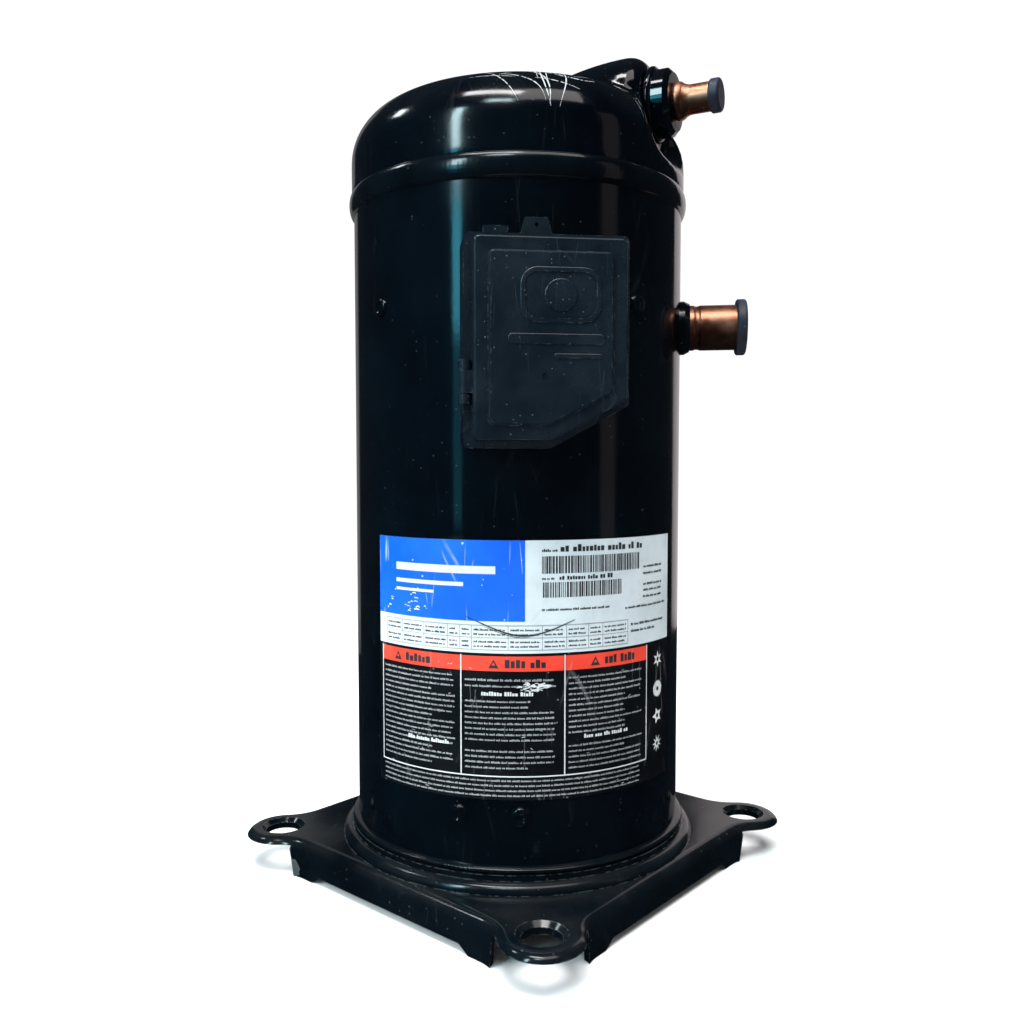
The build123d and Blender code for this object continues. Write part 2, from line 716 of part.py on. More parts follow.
with BuildPart() as discharge_plug:
    with BuildSketch(discharge_plane):
        with BuildLine():
            plug_profile(DISCHARGE_TUBE_END, DISCHARGE_TUBE_R - DISCHARGE_TUBE_WALL, DISCHARGE_PLUG_R)
        make_face()
    revolve(axis=discharge_axis)
discharge_plug.part.label = "discharge_plug"

# ---------------------------------------------------------------- suction baffle
BAFFLE_R = SHELL_IN - 9.0
BAFFLE_SPAN = 46.0
with BuildPart() as suction_baffle:
    with BuildSketch(Plane.XY.offset(SUCTION_HEIGHT - 19)):
        with BuildLine():
            start = SUCTION_ANGLE - BAFFLE_SPAN / 2
            end = SUCTION_ANGLE + BAFFLE_SPAN / 2
            CenterArc((0, 0), BAFFLE_R, start, BAFFLE_SPAN)
            CenterArc((0, 0), BAFFLE_R - 1.2, start, BAFFLE_SPAN)
            for edge_angle in (start, end):
                Line(polar_point(BAFFLE_R, edge_angle), polar_point(BAFFLE_R - 1.2, edge_angle))
        make_face()
        for flange_angle in (start, end):
            with Locations(Location((0, 0, 0), (0, 0, flange_angle))):
                with Locations(((BAFFLE_R - 1.2 + SHELL_IN - 0.3) / 2, 0)):
                    Rectangle(SHELL_IN - 0.3 - BAFFLE_R + 1.2, 1.2)
    extrude(amount=38)
suction_baffle.part.label = "suction_baffle"

# ---------------------------------------------------------------- terminal box
box_plane = outward(BOX_ANGLE, BOX_HEIGHT, 0)
hinge_x = -BOX_WIDTH / 2 - HINGE_OFFSET


def box_level(reach):
    """The terminal box's own plane at a distance from the shell axis."""
    return outward(BOX_ANGLE, BOX_HEIGHT, reach)


def lug_plan(reach, low, length, half_width):
    """Plan of a hinge lug or knuckle arm: a rectangle on the hinge line, away from the shell axis."""
    with BuildSketch(box_level(reach)) as plan:
        with Locations((hinge_x, low + length / 2)):
            Rectangle(2 * half_width, length)
    return plan.sketch


def barrel_plan(low, radius):
    """Plan of a barrel round the hinge line, starting at a height in the box's own frame."""
    hinge_plane = Plane(
        origin=box_plane.from_local_coords(Vector(hinge_x, low, HINGE_FRONT)),
        x_dir=box_plane.x_dir,
        z_dir=(0, 0, 1),
    )
    with BuildSketch(hinge_plane) as plan:
        Circle(radius)
    return plan.sketch


hinge_low = HINGE_CENTRE - HINGE_LENGTH / 2
lug_lows = (hinge_low, hinge_low + HINGE_LENGTH - HINGE_LUG)
with BuildPart() as terminal_box_base:
    with BuildSketch(box_level(SHELL_IN - 12)) as rim_plan:
        with BuildLine():
            Polyline(*box_outline(BOX_RIM), close=True)
        make_face()
        fillet(rim_plan.vertices(), COVER_EDGE_R)
    extrude(amount=BOX_BASE_FRONT - SHELL_IN + 12)
    with BuildSketch(box_level(BOX_FLOOR + BOX_FLOOR_THICK)) as well_plan:
        with BuildLine():
            Polyline(*box_outline(-BOX_WALL), close=True)
        make_face()
        fillet(well_plan.vertices(), COVER_EDGE_R)
    extrude(amount=BOX_BASE_FRONT, mode=Mode.SUBTRACT)
    with BuildSketch(box_level(0)):
        Circle(TERMINAL_CUP_R + 8)
    extrude(amount=BOX_BASE_FRONT, mode=Mode.SUBTRACT)
    with BuildSketch(box_level(BOX_BASE_FRONT - 4)):
        with BuildLine():
            tab_low = BOX_TALL / 2 + BOX_RIM - 0.5
            Polyline(
                (TAB_LEFT, tab_low),
                (TAB_LEFT + TAB_WIDTH, tab_low),
                (TAB_LEFT + TAB_WIDTH - TAB_TAPER, tab_low + TAB_HEIGHT),
                (TAB_LEFT + TAB_TAPER, tab_low + TAB_HEIGHT),
                close=True,
            )
        make_face()
        with Locations((TAB_LEFT + TAB_WIDTH / 2, tab_low + TAB_HOLE_RISE)):
            Circle(0.9, mode=Mode.SUBTRACT)
    extrude(amount=4)
    for lug_low in lug_lows:
        lug_foot = BOX_BASE_FRONT - 3
        extrude(lug_plan(lug_foot, lug_low, HINGE_LUG, HINGE_KNUCKLE_R), amount=HINGE_FRONT - lug_foot)
        extrude(barrel_plan(lug_low, HINGE_KNUCKLE_R), amount=HINGE_LUG)
    extrude(barrel_plan(hinge_low - 1, HINGE_PIN_R), amount=HINGE_LENGTH + 2, mode=Mode.SUBTRACT)
    with BuildSketch(Plane.XY.offset(BOX_HEIGHT - BOX_TALL)):
        Circle(SHELL_R + LOOSE)
    extrude(amount=2 * BOX_TALL, mode=Mode.SUBTRACT)
terminal_box_base.part.label = "terminal_box_base"

COVER_BACK = BOX_BASE_FRONT + LOOSE
with BuildPart() as terminal_cover:
    with BuildSketch(box_level(COVER_BACK)) as cover_plan:
        with BuildLine():
            Polyline(*box_outline(0), close=True)
        make_face()
        fillet(cover_plan.vertices(), COVER_EDGE_R)
    extrude(amount=COVER_FRONT - COVER_BACK)
    fillet(terminal_cover.faces().sort_by(Axis((0, 0, 0), box_plane.z_dir))[-1].edges(), 1.4)
    with BuildSketch(box_level(COVER_FRONT)) as panel_plan:
        with BuildLine():
            Polyline(*box_outline(-PANEL_INSET), close=True)
        make_face()
        fillet(panel_plan.vertices(), COVER_EDGE_R)
    extrude(amount=COVER_RAISE, taper=35)
    with BuildSketch(box_level(COVER_BACK)) as hollow_plan:
        with BuildLine():
            Polyline(*box_outline(-BOX_WALL), close=True)
        make_face()
        fillet(hollow_plan.vertices(), COVER_EDGE_R - 1)
    extrude(amount=COVER_FRONT - BOX_WALL - COVER_BACK, mode=Mode.SUBTRACT)
    with BuildSketch(box_level(COVER_FRONT - 6.5)):
        with Locations((-25, BOX_TALL / 2 + 2)):
            Rectangle(11, 4.4)
    extrude(amount=5)
    with BuildSketch(box_level(COVER_FRONT + COVER_RAISE - 0.6)):
        with Locations((-3.1, -17)):
            Circle(1.5)
    extrude(amount=1, mode=Mode.SUBTRACT)
    knuckle_low = lug_lows[0] + HINGE_LUG + LOOSE
    knuckle_length = HINGE_LENGTH - 2 * HINGE_LUG - 2 * LOOSE
    with BuildSketch(box_level(HINGE_FRONT)):
        with Locations((hinge_x + (HINGE_OFFSET + 1) / 2, knuckle_low + knuckle_length / 2)):
            Rectangle(HINGE_OFFSET + 1, knuckle_length)
    extrude(amount=HINGE_KNUCKLE_R)
    extrude(barrel_plan(knuckle_low, HINGE_KNUCKLE_R), amount=knuckle_length)
    extrude(
        barrel_plan(knuckle_low - 1, HINGE_PIN_R + RUNNING),
        amount=knuckle_length + 2,
        mode=Mode.SUBTRACT,
    )
terminal_cover.part.label = "terminal_cover"

with BuildPart() as hinge_pin:
    extrude(barrel_plan(hinge_low, HINGE_PIN_R), amount=HINGE_LENGTH)
hinge_pin.part.label = "hinge_pin"

with BuildPart() as terminal_gasket:
    with BuildSketch(box_level(SHELL_R - 12)):
        Circle(TERMINAL_CUP_R + 7.5)
        Circle(TERMINAL_CUP_R + 3, mode=Mode.SUBTRACT)
    extrude(amount=BOX_FLOOR + BOX_FLOOR_THICK - 0.6 - SHELL_R + 12)
    with BuildSketch(Plane.XY.offset(BOX_HEIGHT - BOX_TALL / 2)):
        Circle(SHELL_R)
    extrude(amount=BOX_TALL, mode=Mode.SUBTRACT)
terminal_gasket.part.label = "terminal_gasket"

pin_places = [
    (TERMINAL_CIRCLE_R * cos(radians(a)), TERMINAL_CIRCLE_R * sin(radians(a)))
    for a in (90, 210, 330)
]
CUP_FACE = SHELL_R - 1.0
CUP_THICK = 3.0
with BuildPart() as terminal_cup:
    with BuildSketch(box_level(CUP_FACE - 9)):
        Circle(TERMINAL_CUP_R)
    extrude(amount=9)
    with BuildSketch(box_level(CUP_FACE - 9)):
        Circle(TERMINAL_CUP_R - 2.4)
    extrude(amount=9 - CUP_THICK, mode=Mode.SUBTRACT)
    with BuildSketch(box_level(CUP_FACE - 9)):
        with Locations(*pin_places):
            Circle(GLASS_BEAD_R)
    extrude(amount=10, mode=Mode.SUBTRACT)
terminal_cup.part.label = "terminal_cup"

with BuildPart() as glass_seals:
    with BuildSketch(box_level(CUP_FACE - CUP_THICK - 0.6)):
        with Locations(*pin_places):
            Circle(GLASS_BEAD_R)
        with Locations(*pin_places):
            Circle(TERMINAL_PIN_R, mode=Mode.SUBTRACT)
    extrude(amount=CUP_THICK + 1.2)
glass_seals.part.label = "glass_seals"

with BuildPart() as terminal_pins:
    with BuildSketch(box_level(CUP_FACE - 15)):
        with Locations(*pin_places):
            Circle(TERMINAL_PIN_R)
    extrude(amount=25)
    with BuildSketch(box_level(CUP_FACE + 4)):
        with Locations(*pin_places):
            Rectangle(6.3, 0.8)
    extrude(amount=10)
terminal_pins.part.label = "terminal_pins"

ground_place = (BOX_WIDTH / 2 - 10.5, BOX_TALL / 2 - 11)
with BuildPart() as ground_screw:
    with BuildSketch(box_level(BOX_FLOOR + BOX_FLOOR_THICK)):
        with Locations(ground_place):
            RegularPolygon(4.2, 6)
    extrude(amount=3.2)
    with BuildSketch(box_level(BOX_FLOOR + BOX_FLOOR_THICK + 2.2)):
        with Locations(ground_place):
            Rectangle(6, 0.9)
    extrude(amount=3, mode=Mode.SUBTRACT)
ground_screw.part.label = "ground_screw"

# ---------------------------------------------------------------- muffler plate and floating seal
MUFFLER_UNDER = FIXED_TOP + SEAL_RING_RISE + FIXED_LIFT + SEAL_LIFT + 5.5
MUFFLER_DOME_R = 60.0
MUFFLER_SLOPE_R = 80.0
with BuildPart() as muffler_plate:
    with BuildSketch(Plane.XZ):
        with BuildLine():
            Polyline(
                (SHELL_R, SEAM_HEIGHT),
                (MUFFLER_SLOPE_R, SEAM_HEIGHT),
                (MUFFLER_DOME_R, MUFFLER_UNDER),
                (PORT_R + 6, MUFFLER_UNDER),
                (PORT_R + 6, MUFFLER_UNDER + 2 * MUFFLER_WALL),
                (PORT_R + 6 + MUFFLER_WALL, MUFFLER_UNDER + 2 * MUFFLER_WALL),
                (PORT_R + 6 + MUFFLER_WALL, MUFFLER_UNDER + MUFFLER_WALL),
                (MUFFLER_DOME_R + 1, MUFFLER_UNDER + MUFFLER_WALL),
                (MUFFLER_SLOPE_R + 1, CAP_BOTTOM),
                (SHELL_R, CAP_BOTTOM),
                close=True,
            )
        make_face()
    revolve(axis=Axis.Z)
    with BuildSketch(Plane.XY.offset(MUFFLER_UNDER - 1)):
        with Locations(polar_point(42, 200)):
            Circle(5)
    extrude(amount=3 * MUFFLER_WALL, mode=Mode.SUBTRACT)
muffler_plate.part.label = "muffler_plate"

with BuildPart() as relief_valve:
    with BuildSketch(Plane.XY.offset(MUFFLER_UNDER + MUFFLER_WALL)):
        with Locations(polar_point(42, 200)):
            RegularPolygon(7, 6)
    extrude(amount=4)
    with BuildSketch(Plane.XY.offset(MUFFLER_UNDER)):
        with Locations(polar_point(42, 200)):
            Circle(5)
    extrude(amount=MUFFLER_WALL)
    with BuildSketch(Plane.XY.offset(MUFFLER_UNDER)):
        with Locations(polar_point(42, 200)):
            Circle(1.6)
    extrude(amount=20, mode=Mode.SUBTRACT)
relief_valve.part.label = "relief_valve"

SEAL_FLOOR = FIXED_TOP - 5.0
SEAL_TOP = MUFFLER_UNDER - FIXED_LIFT - SEAL_LIFT - SEAT_GAP
with BuildPart() as floating_seal:
    with BuildSketch(Plane.XZ):
        with BuildLine():
            Polyline(
                (SEAL_GROOVE_IN + SLIDING, SEAL_FLOOR + 1),
                (SEAL_GROOVE_OUT - SLIDING, SEAL_FLOOR + 1),
                (SEAL_GROOVE_OUT - SLIDING, FIXED_TOP + 1),
                (SEAL_GROOVE_OUT - 6, FIXED_TOP + 3),
                (SEAL_GROOVE_IN + 9, FIXED_TOP + 3),
                (SEAL_GROOVE_IN + 6, SEAL_TOP),
                (SEAL_GROOVE_IN + 3, SEAL_TOP),
                (SEAL_GROOVE_IN + 2, FIXED_TOP + 3),
                (SEAL_GROOVE_IN + SLIDING, FIXED_TOP + 1),
                close=True,
            )
        make_face()
    revolve(axis=Axis.Z)
floating_seal.part.label = "floating_seal"


# ---------------------------------------------------------------- scroll wraps
def wrap_outline(centre, turn):
    """Outline of a scroll wrap: two involute flanks joined by short straight ends."""
    outer = [(x + centre, y) for x, y in involute_points(WRAP_WALL / 2, turn)]
    inner = [(x + centre, y) for x, y in involute_points(-WRAP_WALL / 2, turn)]
    Spline(*outer)
    Line(outer[-1], inner[-1])
    Spline(*reversed(inner))
    Line(inner[0], outer[0])


bolt_places = [polar_point(BOLT_CIRCLE_R, a) for a in UPPER_WELD_ANGLES]
EAR_BOTTOM = WRAP_TOP - 18.0
with BuildPart() as fixed_scroll:
    with BuildSketch(Plane.XY.offset(WRAP_TOP)):
        Circle(SKIRT_OUTER_R)
    extrude(amount=FIXED_PLATE_THICK)
    with BuildSketch(Plane.XY.offset(ORBITING_TOP + TIP_GAP)):
        Circle(SKIRT_OUTER_R)
        Circle(SKIRT_INNER_R, mode=Mode.SUBTRACT)
    extrude(amount=WRAP_HEIGHT)
    with BuildSketch(Plane.XY.offset(ORBITING_TOP + TIP_GAP)):
        with BuildLine():
            wrap_outline(0, 0)
        make_face()
    extrude(amount=WRAP_HEIGHT)
    with BuildSketch(Plane.XY.offset(EAR_BOTTOM)):
        with Locations(*bolt_places):
            Circle(EAR_R)
        Circle(SKIRT_INNER_R + 1, mode=Mode.SUBTRACT)
    extrude(amount=WRAP_TOP - EAR_BOTTOM)
    with BuildSketch(Plane.XY.offset(FIXED_TOP)):
        Circle(SEAL_GROOVE_OUT + 6)
    extrude(amount=SEAL_RING_RISE)
    with BuildSketch(Plane.XY.offset(SEAL_FLOOR)):
        Circle(SEAL_GROOVE_OUT)
        Circle(SEAL_GROOVE_IN, mode=Mode.SUBTRACT)
    extrude(amount=SEAL_RING_RISE + FIXED_PLATE_THICK, mode=Mode.SUBTRACT)
    with BuildSketch(Plane.XY.offset(WRAP_TOP)):
        Circle(PORT_R)
    extrude(amount=2 * FIXED_PLATE_THICK, mode=Mode.SUBTRACT)
    with BuildSketch(Plane.XY.offset(EAR_BOTTOM)):
        with Locations(*bolt_places):
            Circle(SLEEVE_R + SLIDING)
    extrude(amount=WRAP_TOP - EAR_BOTTOM + FIXED_PLATE_THICK, mode=Mode.SUBTRACT)
    with BuildSketch(outward(SUCTION_ANGLE, ORBITING_TOP + WRAP_HEIGHT / 2, SKIRT_INNER_R - 2)):
        Rectangle(34, WRAP_HEIGHT - 8)
    extrude(amount=20, mode=Mode.SUBTRACT)
fixed_scroll.part.label = "fixed_scroll"

keyway_in = OLDHAM_IN - ORBIT_R - 1
with BuildPart() as orbiting_scroll:
    with BuildSketch(Plane.XY.offset(THRUST_HEIGHT + SEAT_GAP)):
        with Locations((ORBIT_R, 0)):
            Circle(ORBITING_PLATE_R)
    extrude(amount=ORBITING_PLATE_THICK - SEAT_GAP)
    with BuildSketch(Plane.XY.offset(ORBITING_TOP)):
        with BuildLine():
            wrap_outline(ORBIT_R, pi)
        make_face()
    extrude(amount=WRAP_HEIGHT - TIP_GAP)
    with BuildSketch(Plane.XY.offset(THRUST_HEIGHT - ORBITING_HUB_DROP)):
        with Locations((ORBIT_R, 0)):
            Circle(ORBITING_HUB_R)
            Circle(JOURNAL_R + BUSH_WALL, mode=Mode.SUBTRACT)
    extrude(amount=ORBITING_HUB_DROP + SEAT_GAP)
    with BuildSketch(Plane.XY.offset(THRUST_HEIGHT - 1)):
        for side in (-1, 1):
            with Locations((ORBIT_R, side * (keyway_in + ORBITING_PLATE_R) / 2)):
                Rectangle(KEY_WIDTH + 2 * SLIDING, ORBITING_PLATE_R - keyway_in + 2)
    extrude(amount=KEY_HEIGHT + 1.5, mode=Mode.SUBTRACT)
orbiting_scroll.part.label = "orbiting_scroll"

with BuildPart() as orbiting_bush:
    with BuildSketch(Plane.XY.offset(THRUST_HEIGHT - ORBITING_HUB_DROP)):
        with Locations((ORBIT_R, 0)):
            Circle(JOURNAL_R + BUSH_WALL)
            Circle(JOURNAL_R, mode=Mode.SUBTRACT)
    extrude(amount=ORBITING_HUB_DROP - 1)
orbiting_bush.part.label = "orbiting_bush"

# ---------------------------------------------------------------- Oldham ring
with BuildPart() as oldham_ring:
    with BuildSketch(Plane.XY.offset(OLDHAM_BOTTOM)):
        with Locations((ORBIT_R, 0)):
            Circle(OLDHAM_OUT)
            Circle(OLDHAM_IN, mode=Mode.SUBTRACT)
    extrude(amount=OLDHAM_THICK)
    with BuildSketch(Plane.XY.offset(OLDHAM_TOP)):
        for side in (-1, 1):
            with Locations((ORBIT_R, side * (OLDHAM_IN + OLDHAM_OUT) / 2)):
                Rectangle(KEY_WIDTH, OLDHAM_OUT - OLDHAM_IN - 2)
    extrude(amount=KEY_HEIGHT)
    with BuildSketch(Plane.XY.offset(OLDHAM_BOTTOM - KEY_HEIGHT)):
        for side in (-1, 1):
            with Locations((ORBIT_R + side * (OLDHAM_IN + OLDHAM_OUT) / 2, 0)):
                Rectangle(OLDHAM_OUT - OLDHAM_IN - 2, KEY_WIDTH)
    extrude(amount=KEY_HEIGHT)
oldham_ring.part.label = "oldham_ring"

# ---------------------------------------------------------------- main bearing housing
POST_R = 7.0
with BuildPart() as main_bearing_housing:
    with BuildSketch(Plane.XY.offset(HOUSING_UNDER)):
        Circle(HOUSING_R)
    extrude(amount=HOUSING_FLOOR)
    with BuildSketch(Plane.XY.offset(RECESS_FLOOR)):
        Circle(THRUST_OUT)
    extrude(amount=HOUSING_RECESS)
    with BuildSketch(Plane.XY.offset(HOUSING_BOTTOM)):
        Circle(HOUSING_HUB_R)
    extrude(amount=HOUSING_UNDER - HOUSING_BOTTOM)
    for angle in UPPER_WELD_ANGLES:
        with BuildSketch(Plane.XY.offset(LEG_BOTTOM)):
            with Locations(Location((0, 0, 0), (0, 0, angle))):
                with Locations((SHELL_IN / 2 + 15, 0)):
                    Rectangle(SHELL_IN - 30, LEG_WIDTH)
        extrude(amount=RECESS_FLOOR - LEG_BOTTOM)
    with BuildSketch(Plane.XY.offset(RECESS_FLOOR)):
        with Locations(*bolt_places):
            Circle(POST_R)
    extrude(amount=EAR_BOTTOM - SEAT_GAP - RECESS_FLOOR)
    with BuildSketch(Plane.XY.offset(LEG_BOTTOM)):
        Circle(SHELL_R + 20)
        Circle(SHELL_IN, mode=Mode.SUBTRACT)
    extrude(amount=2 * LEG_HEIGHT, mode=Mode.SUBTRACT)
    with BuildSketch(Plane.XY.offset(WELL_FLOOR)):
        Circle(THRUST_IN)
    extrude(amount=2 * HOUSING_WELL, mode=Mode.SUBTRACT)
    with BuildSketch(Plane.XY.offset(HOUSING_BOTTOM)):
        Circle(JOURNAL_R + BUSH_WALL)
    extrude(amount=HOUSING_HUB_DROP, mode=Mode.SUBTRACT)
    with BuildSketch(Plane.XY.offset(OLDHAM_BOTTOM - KEY_HEIGHT - 1)):
        for side in (-1, 1):
            with Locations((side * (OLDHAM_IN + OLDHAM_OUT) / 2, 0)):
                Rectangle(
                    OLDHAM_OUT - OLDHAM_IN + 2 * ORBIT_R,
                    KEY_WIDTH + 2 * (ORBIT_R + LOOSE),
                )
    extrude(amount=HOUSING_RECESS + KEY_HEIGHT, mode=Mode.SUBTRACT)
    with BuildSketch(Plane.XY.offset(RECESS_FLOOR)):
        with Locations(*bolt_places):
            Circle(BOLT_R)
    extrude(amount=EAR_BOTTOM - RECESS_FLOOR, mode=Mode.SUBTRACT)
main_bearing_housing.part.label = "main_bearing_housing"

with BuildPart() as main_bearing_bush:
    with BuildSketch(Plane.XY.offset(HOUSING_BOTTOM)):
        Circle(JOURNAL_R + BUSH_WALL)
        Circle(JOURNAL_R + RUNNING, mode=Mode.SUBTRACT)
    extrude(amount=HOUSING_HUB_DROP)
main_bearing_bush.part.label = "main_bearing_bush"

SLEEVE_TOP = WRAP_TOP + FIXED_LIFT + SEAT_GAP
with BuildPart() as scroll_sleeves:
    with BuildSketch(Plane.XY.offset(EAR_BOTTOM - SEAT_GAP)):
        with Locations(*bolt_places):
            Circle(SLEEVE_R)
        with Locations(*bolt_places):
            Circle(BOLT_R, mode=Mode.SUBTRACT)
    extrude(amount=SLEEVE_TOP - EAR_BOTTOM + SEAT_GAP)
scroll_sleeves.part.label = "scroll_sleeves"

with BuildPart() as scroll_bolts:
    with BuildSketch(Plane.XY.offset(RECESS_FLOOR)):
        with Locations(*bolt_places):
            Circle(BOLT_R)
    extrude(amount=SLEEVE_TOP - RECESS_FLOOR)
    with BuildSketch(Plane.XY.offset(SLEEVE_TOP)):
        with Locations(*bolt_places):
            RegularPolygon(2 * BOLT_R, 6)
    extrude(amount=5)
scroll_bolts.part.label = "scroll_bolts"

# ---------------------------------------------------------------- crankshaft
PIN_TOP = THRUST_HEIGHT - 2.0
with BuildPart() as crankshaft:
    with BuildSketch(Plane.XZ):
        with BuildLine():
            Polyline(
                (0, SHAFT_BOTTOM),
                (LOWER_JOURNAL_R, SHAFT_BOTTOM),
                (LOWER_JOURNAL_R, STATOR_BOTTOM - 30),
                (ROTOR_SEAT_R, STATOR_BOTTOM - 30),
                (ROTOR_SEAT_R, STATOR_TOP + 26),
                (JOURNAL_R, STATOR_TOP + 26),
                (JOURNAL_R, WELL_FLOOR),
                (0, WELL_FLOOR),
                close=True,
            )
        make_face()
    revolve(axis=Axis.Z)
    with BuildSketch(Plane.XY.offset(WELL_FLOOR)):
        with Locations((ORBIT_R, 0)):
            Circle(CRANK_PIN_R)
    extrude(amount=PIN_TOP - WELL_FLOOR)
    with BuildSketch(Plane.XY.offset(SHAFT_BOTTOM)):
        Circle(LOWER_JOURNAL_R / 2)
    extrude(amount=28, mode=Mode.SUBTRACT)
    with BuildSketch(Plane.XY.offset(SHAFT_BOTTOM + 20)):
        with Locations((ORBIT_R, 0)):
            Circle(2.2)
    extrude(amount=PIN_TOP - SHAFT_BOTTOM, mode=Mode.SUBTRACT)
crankshaft.part.label = "crankshaft"

with BuildPart() as drive_bushing:
    with BuildSketch(Plane.XY.offset(WELL_FLOOR + 1.5)):
        with Locations((ORBIT_R, 0)):
            Circle(JOURNAL_R - RUNNING)
            Circle(CRANK_PIN_R, mode=Mode.SUBTRACT)
    extrude(amount=PIN_TOP - WELL_FLOOR - 2.5)
drive_bushing.part.label = "drive_bushing"

with BuildPart() as oil_pickup:
    with BuildSketch(Plane.XY.offset(SHAFT_BOTTOM - 15)):
        Circle(LOWER_JOURNAL_R / 2)
        Circle(LOWER_JOURNAL_R / 2 - 1.2, mode=Mode.SUBTRACT)
    extrude(amount=25)
oil_pickup.part.label = "oil_pickup"

# ---------------------------------------------------------------- motor
with BuildPart() as rotor_core:
    with BuildSketch(Plane.XY.offset(STATOR_BOTTOM)):
        Circle(ROTOR_R)
        Circle(ROTOR_SEAT_R, mode=Mode.SUBTRACT)
    extrude(amount=STACK_LENGTH)
rotor_core.part.label = "rotor_core"

with BuildPart() as rotor_end_rings:
    for ring_low in (STATOR_TOP, STATOR_BOTTOM - END_RING_HEIGHT):
        with BuildSketch(Plane.XY.offset(ring_low)):
            Circle(END_RING_R)
            Circle(END_RING_R - 13, mode=Mode.SUBTRACT)
        extrude(amount=END_RING_HEIGHT)
rotor_end_rings.part.label = "rotor_end_rings"


def half_ring_plan(side, low):
    """Plan of a counterweight: half a ring on one side of the shaft."""
    with BuildSketch(Plane.XY.offset(low)) as plan:
        Circle(END_RING_R - 2)
        Circle(ROTOR_SEAT_R + 3, mode=Mode.SUBTRACT)
        with Locations((-side * END_RING_R, 0)):
            Rectangle(2 * END_RING_R, 2 * END_RING_R, mode=Mode.SUBTRACT)
    return plan.sketch


with BuildPart() as upper_counterweight:
    extrude(half_ring_plan(-1, STATOR_TOP + END_RING_HEIGHT), amount=WEIGHT_HEIGHT)
upper_counterweight.part.label = "upper_counterweight"

with BuildPart() as lower_counterweight:
    weight_low = STATOR_BOTTOM - END_RING_HEIGHT - WEIGHT_HEIGHT
    extrude(half_ring_plan(1, weight_low), amount=WEIGHT_HEIGHT)
lower_counterweight.part.label = "lower_counterweight"

with BuildPart() as stator_core:
    with BuildSketch(Plane.XY.offset(STATOR_BOTTOM)):
        Circle(SHELL_IN)
        Circle(STATOR_BORE_R, mode=Mode.SUBTRACT)
        with PolarLocations((SLOT_IN + SLOT_OUT) / 2, SLOT_COUNT):
            SlotOverall(SLOT_OUT - SLOT_IN, SLOT_WIDTH, mode=Mode.SUBTRACT)
        with PolarLocations(STATOR_BORE_R + 1.5, SLOT_COUNT):
            Rectangle(6, 2.4, mode=Mode.SUBTRACT)
        with PolarLocations(SHELL_IN, 6, start_angle=LOWER_LEG_ANGLES[0]):
            Rectangle(7, 16, mode=Mode.SUBTRACT)
    extrude(amount=STACK_LENGTH)
stator_core.part.label = "stator_core"

with BuildPart() as stator_winding:
    for low in (STATOR_TOP + 2, STATOR_BOTTOM - 2 - END_TURN):
        with BuildSketch(Plane.XZ) as end_turn:
            with Locations(((SLOT_IN + SLOT_OUT) / 2, low + END_TURN / 2)):
                Rectangle(SLOT_OUT - SLOT_IN + 3, END_TURN)
            fillet(end_turn.vertices(), 7)
        revolve(axis=Axis.Z)
    with BuildSketch(Plane.XY.offset(STATOR_BOTTOM - 4)):
        with PolarLocations((SLOT_IN + SLOT_OUT) / 2, SLOT_COUNT):
            SlotOverall(SLOT_OUT - SLOT_IN - 2 * SLIP, SLOT_WIDTH - 2 * SLIP)
    extrude(amount=STACK_LENGTH + 8)
stator_winding.part.label = "stator_winding"

with BuildPart() as motor_protector:
    with BuildSketch(Plane.XY.offset(STATOR_TOP + 2 + END_TURN)):
        with Locations(Location((*polar_point(57, 140), 0), (0, 0, 230))):
            SlotOverall(30, 13)
    extrude(amount=9)
motor_protector.part.label = "motor_protector"

# ---------------------------------------------------------------- lower bearing
LOWER_HUB_BOTTOM = LOWER_WELD_HEIGHT - 7.0
with BuildPart() as lower_bearing_bracket:
    with BuildSketch(Plane.XY.offset(LOWER_HUB_BOTTOM)):
        Circle(LOWER_HUB_R)
    extrude(amount=LOWER_HUB_HEIGHT)
    for angle in LOWER_LEG_ANGLES:
        with BuildSketch(Plane.XY.offset(LOWER_HUB_BOTTOM)):
            with Locations(Location((0, 0, 0), (0, 0, angle))):
                with Locations((SHELL_IN / 2, 0)):
                    Rectangle(SHELL_IN, 34)
        extrude(amount=5)
        with BuildSketch(Plane.XY.offset(LOWER_HUB_BOTTOM)):
            with Locations(Location((0, 0, 0), (0, 0, angle))):
                with Locations((SHELL_IN - 2, 0)):
                    Rectangle(8, 46)
        extrude(amount=14)
    with BuildSketch(Plane.XY.offset(LOWER_HUB_BOTTOM)):
        Circle(SHELL_R + 20)
        Circle(SHELL_IN, mode=Mode.SUBTRACT)
    extrude(amount=LOWER_HUB_HEIGHT, mode=Mode.SUBTRACT)
    with BuildSketch(Plane.XY.offset(LOWER_HUB_BOTTOM)):
        Circle(LOWER_JOURNAL_R + BUSH_WALL)
    extrude(amount=LOWER_HUB_HEIGHT, mode=Mode.SUBTRACT)
lower_bearing_bracket.part.label = "lower_bearing_bracket"

with BuildPart() as lower_bearing_bush:
    with BuildSketch(Plane.XY.offset(LOWER_HUB_BOTTOM)):
        Circle(LOWER_JOURNAL_R + BUSH_WALL)
        Circle(LOWER_JOURNAL_R + RUNNING, mode=Mode.SUBTRACT)
    extrude(amount=LOWER_HUB_HEIGHT)
lower_bearing_bush.part.label = "lower_bearing_bush"

with BuildPart() as sump_magnet:
    with BuildSketch(Plane.XY.offset(BOTTOM_CAP_FLOOR + SHELL_WALL)):
        with Locations((38, 0)):
            Circle(11)
            Circle(3, mode=Mode.SUBTRACT)
    extrude(amount=4.5)
sump_magnet.part.label = "sump_magnet"

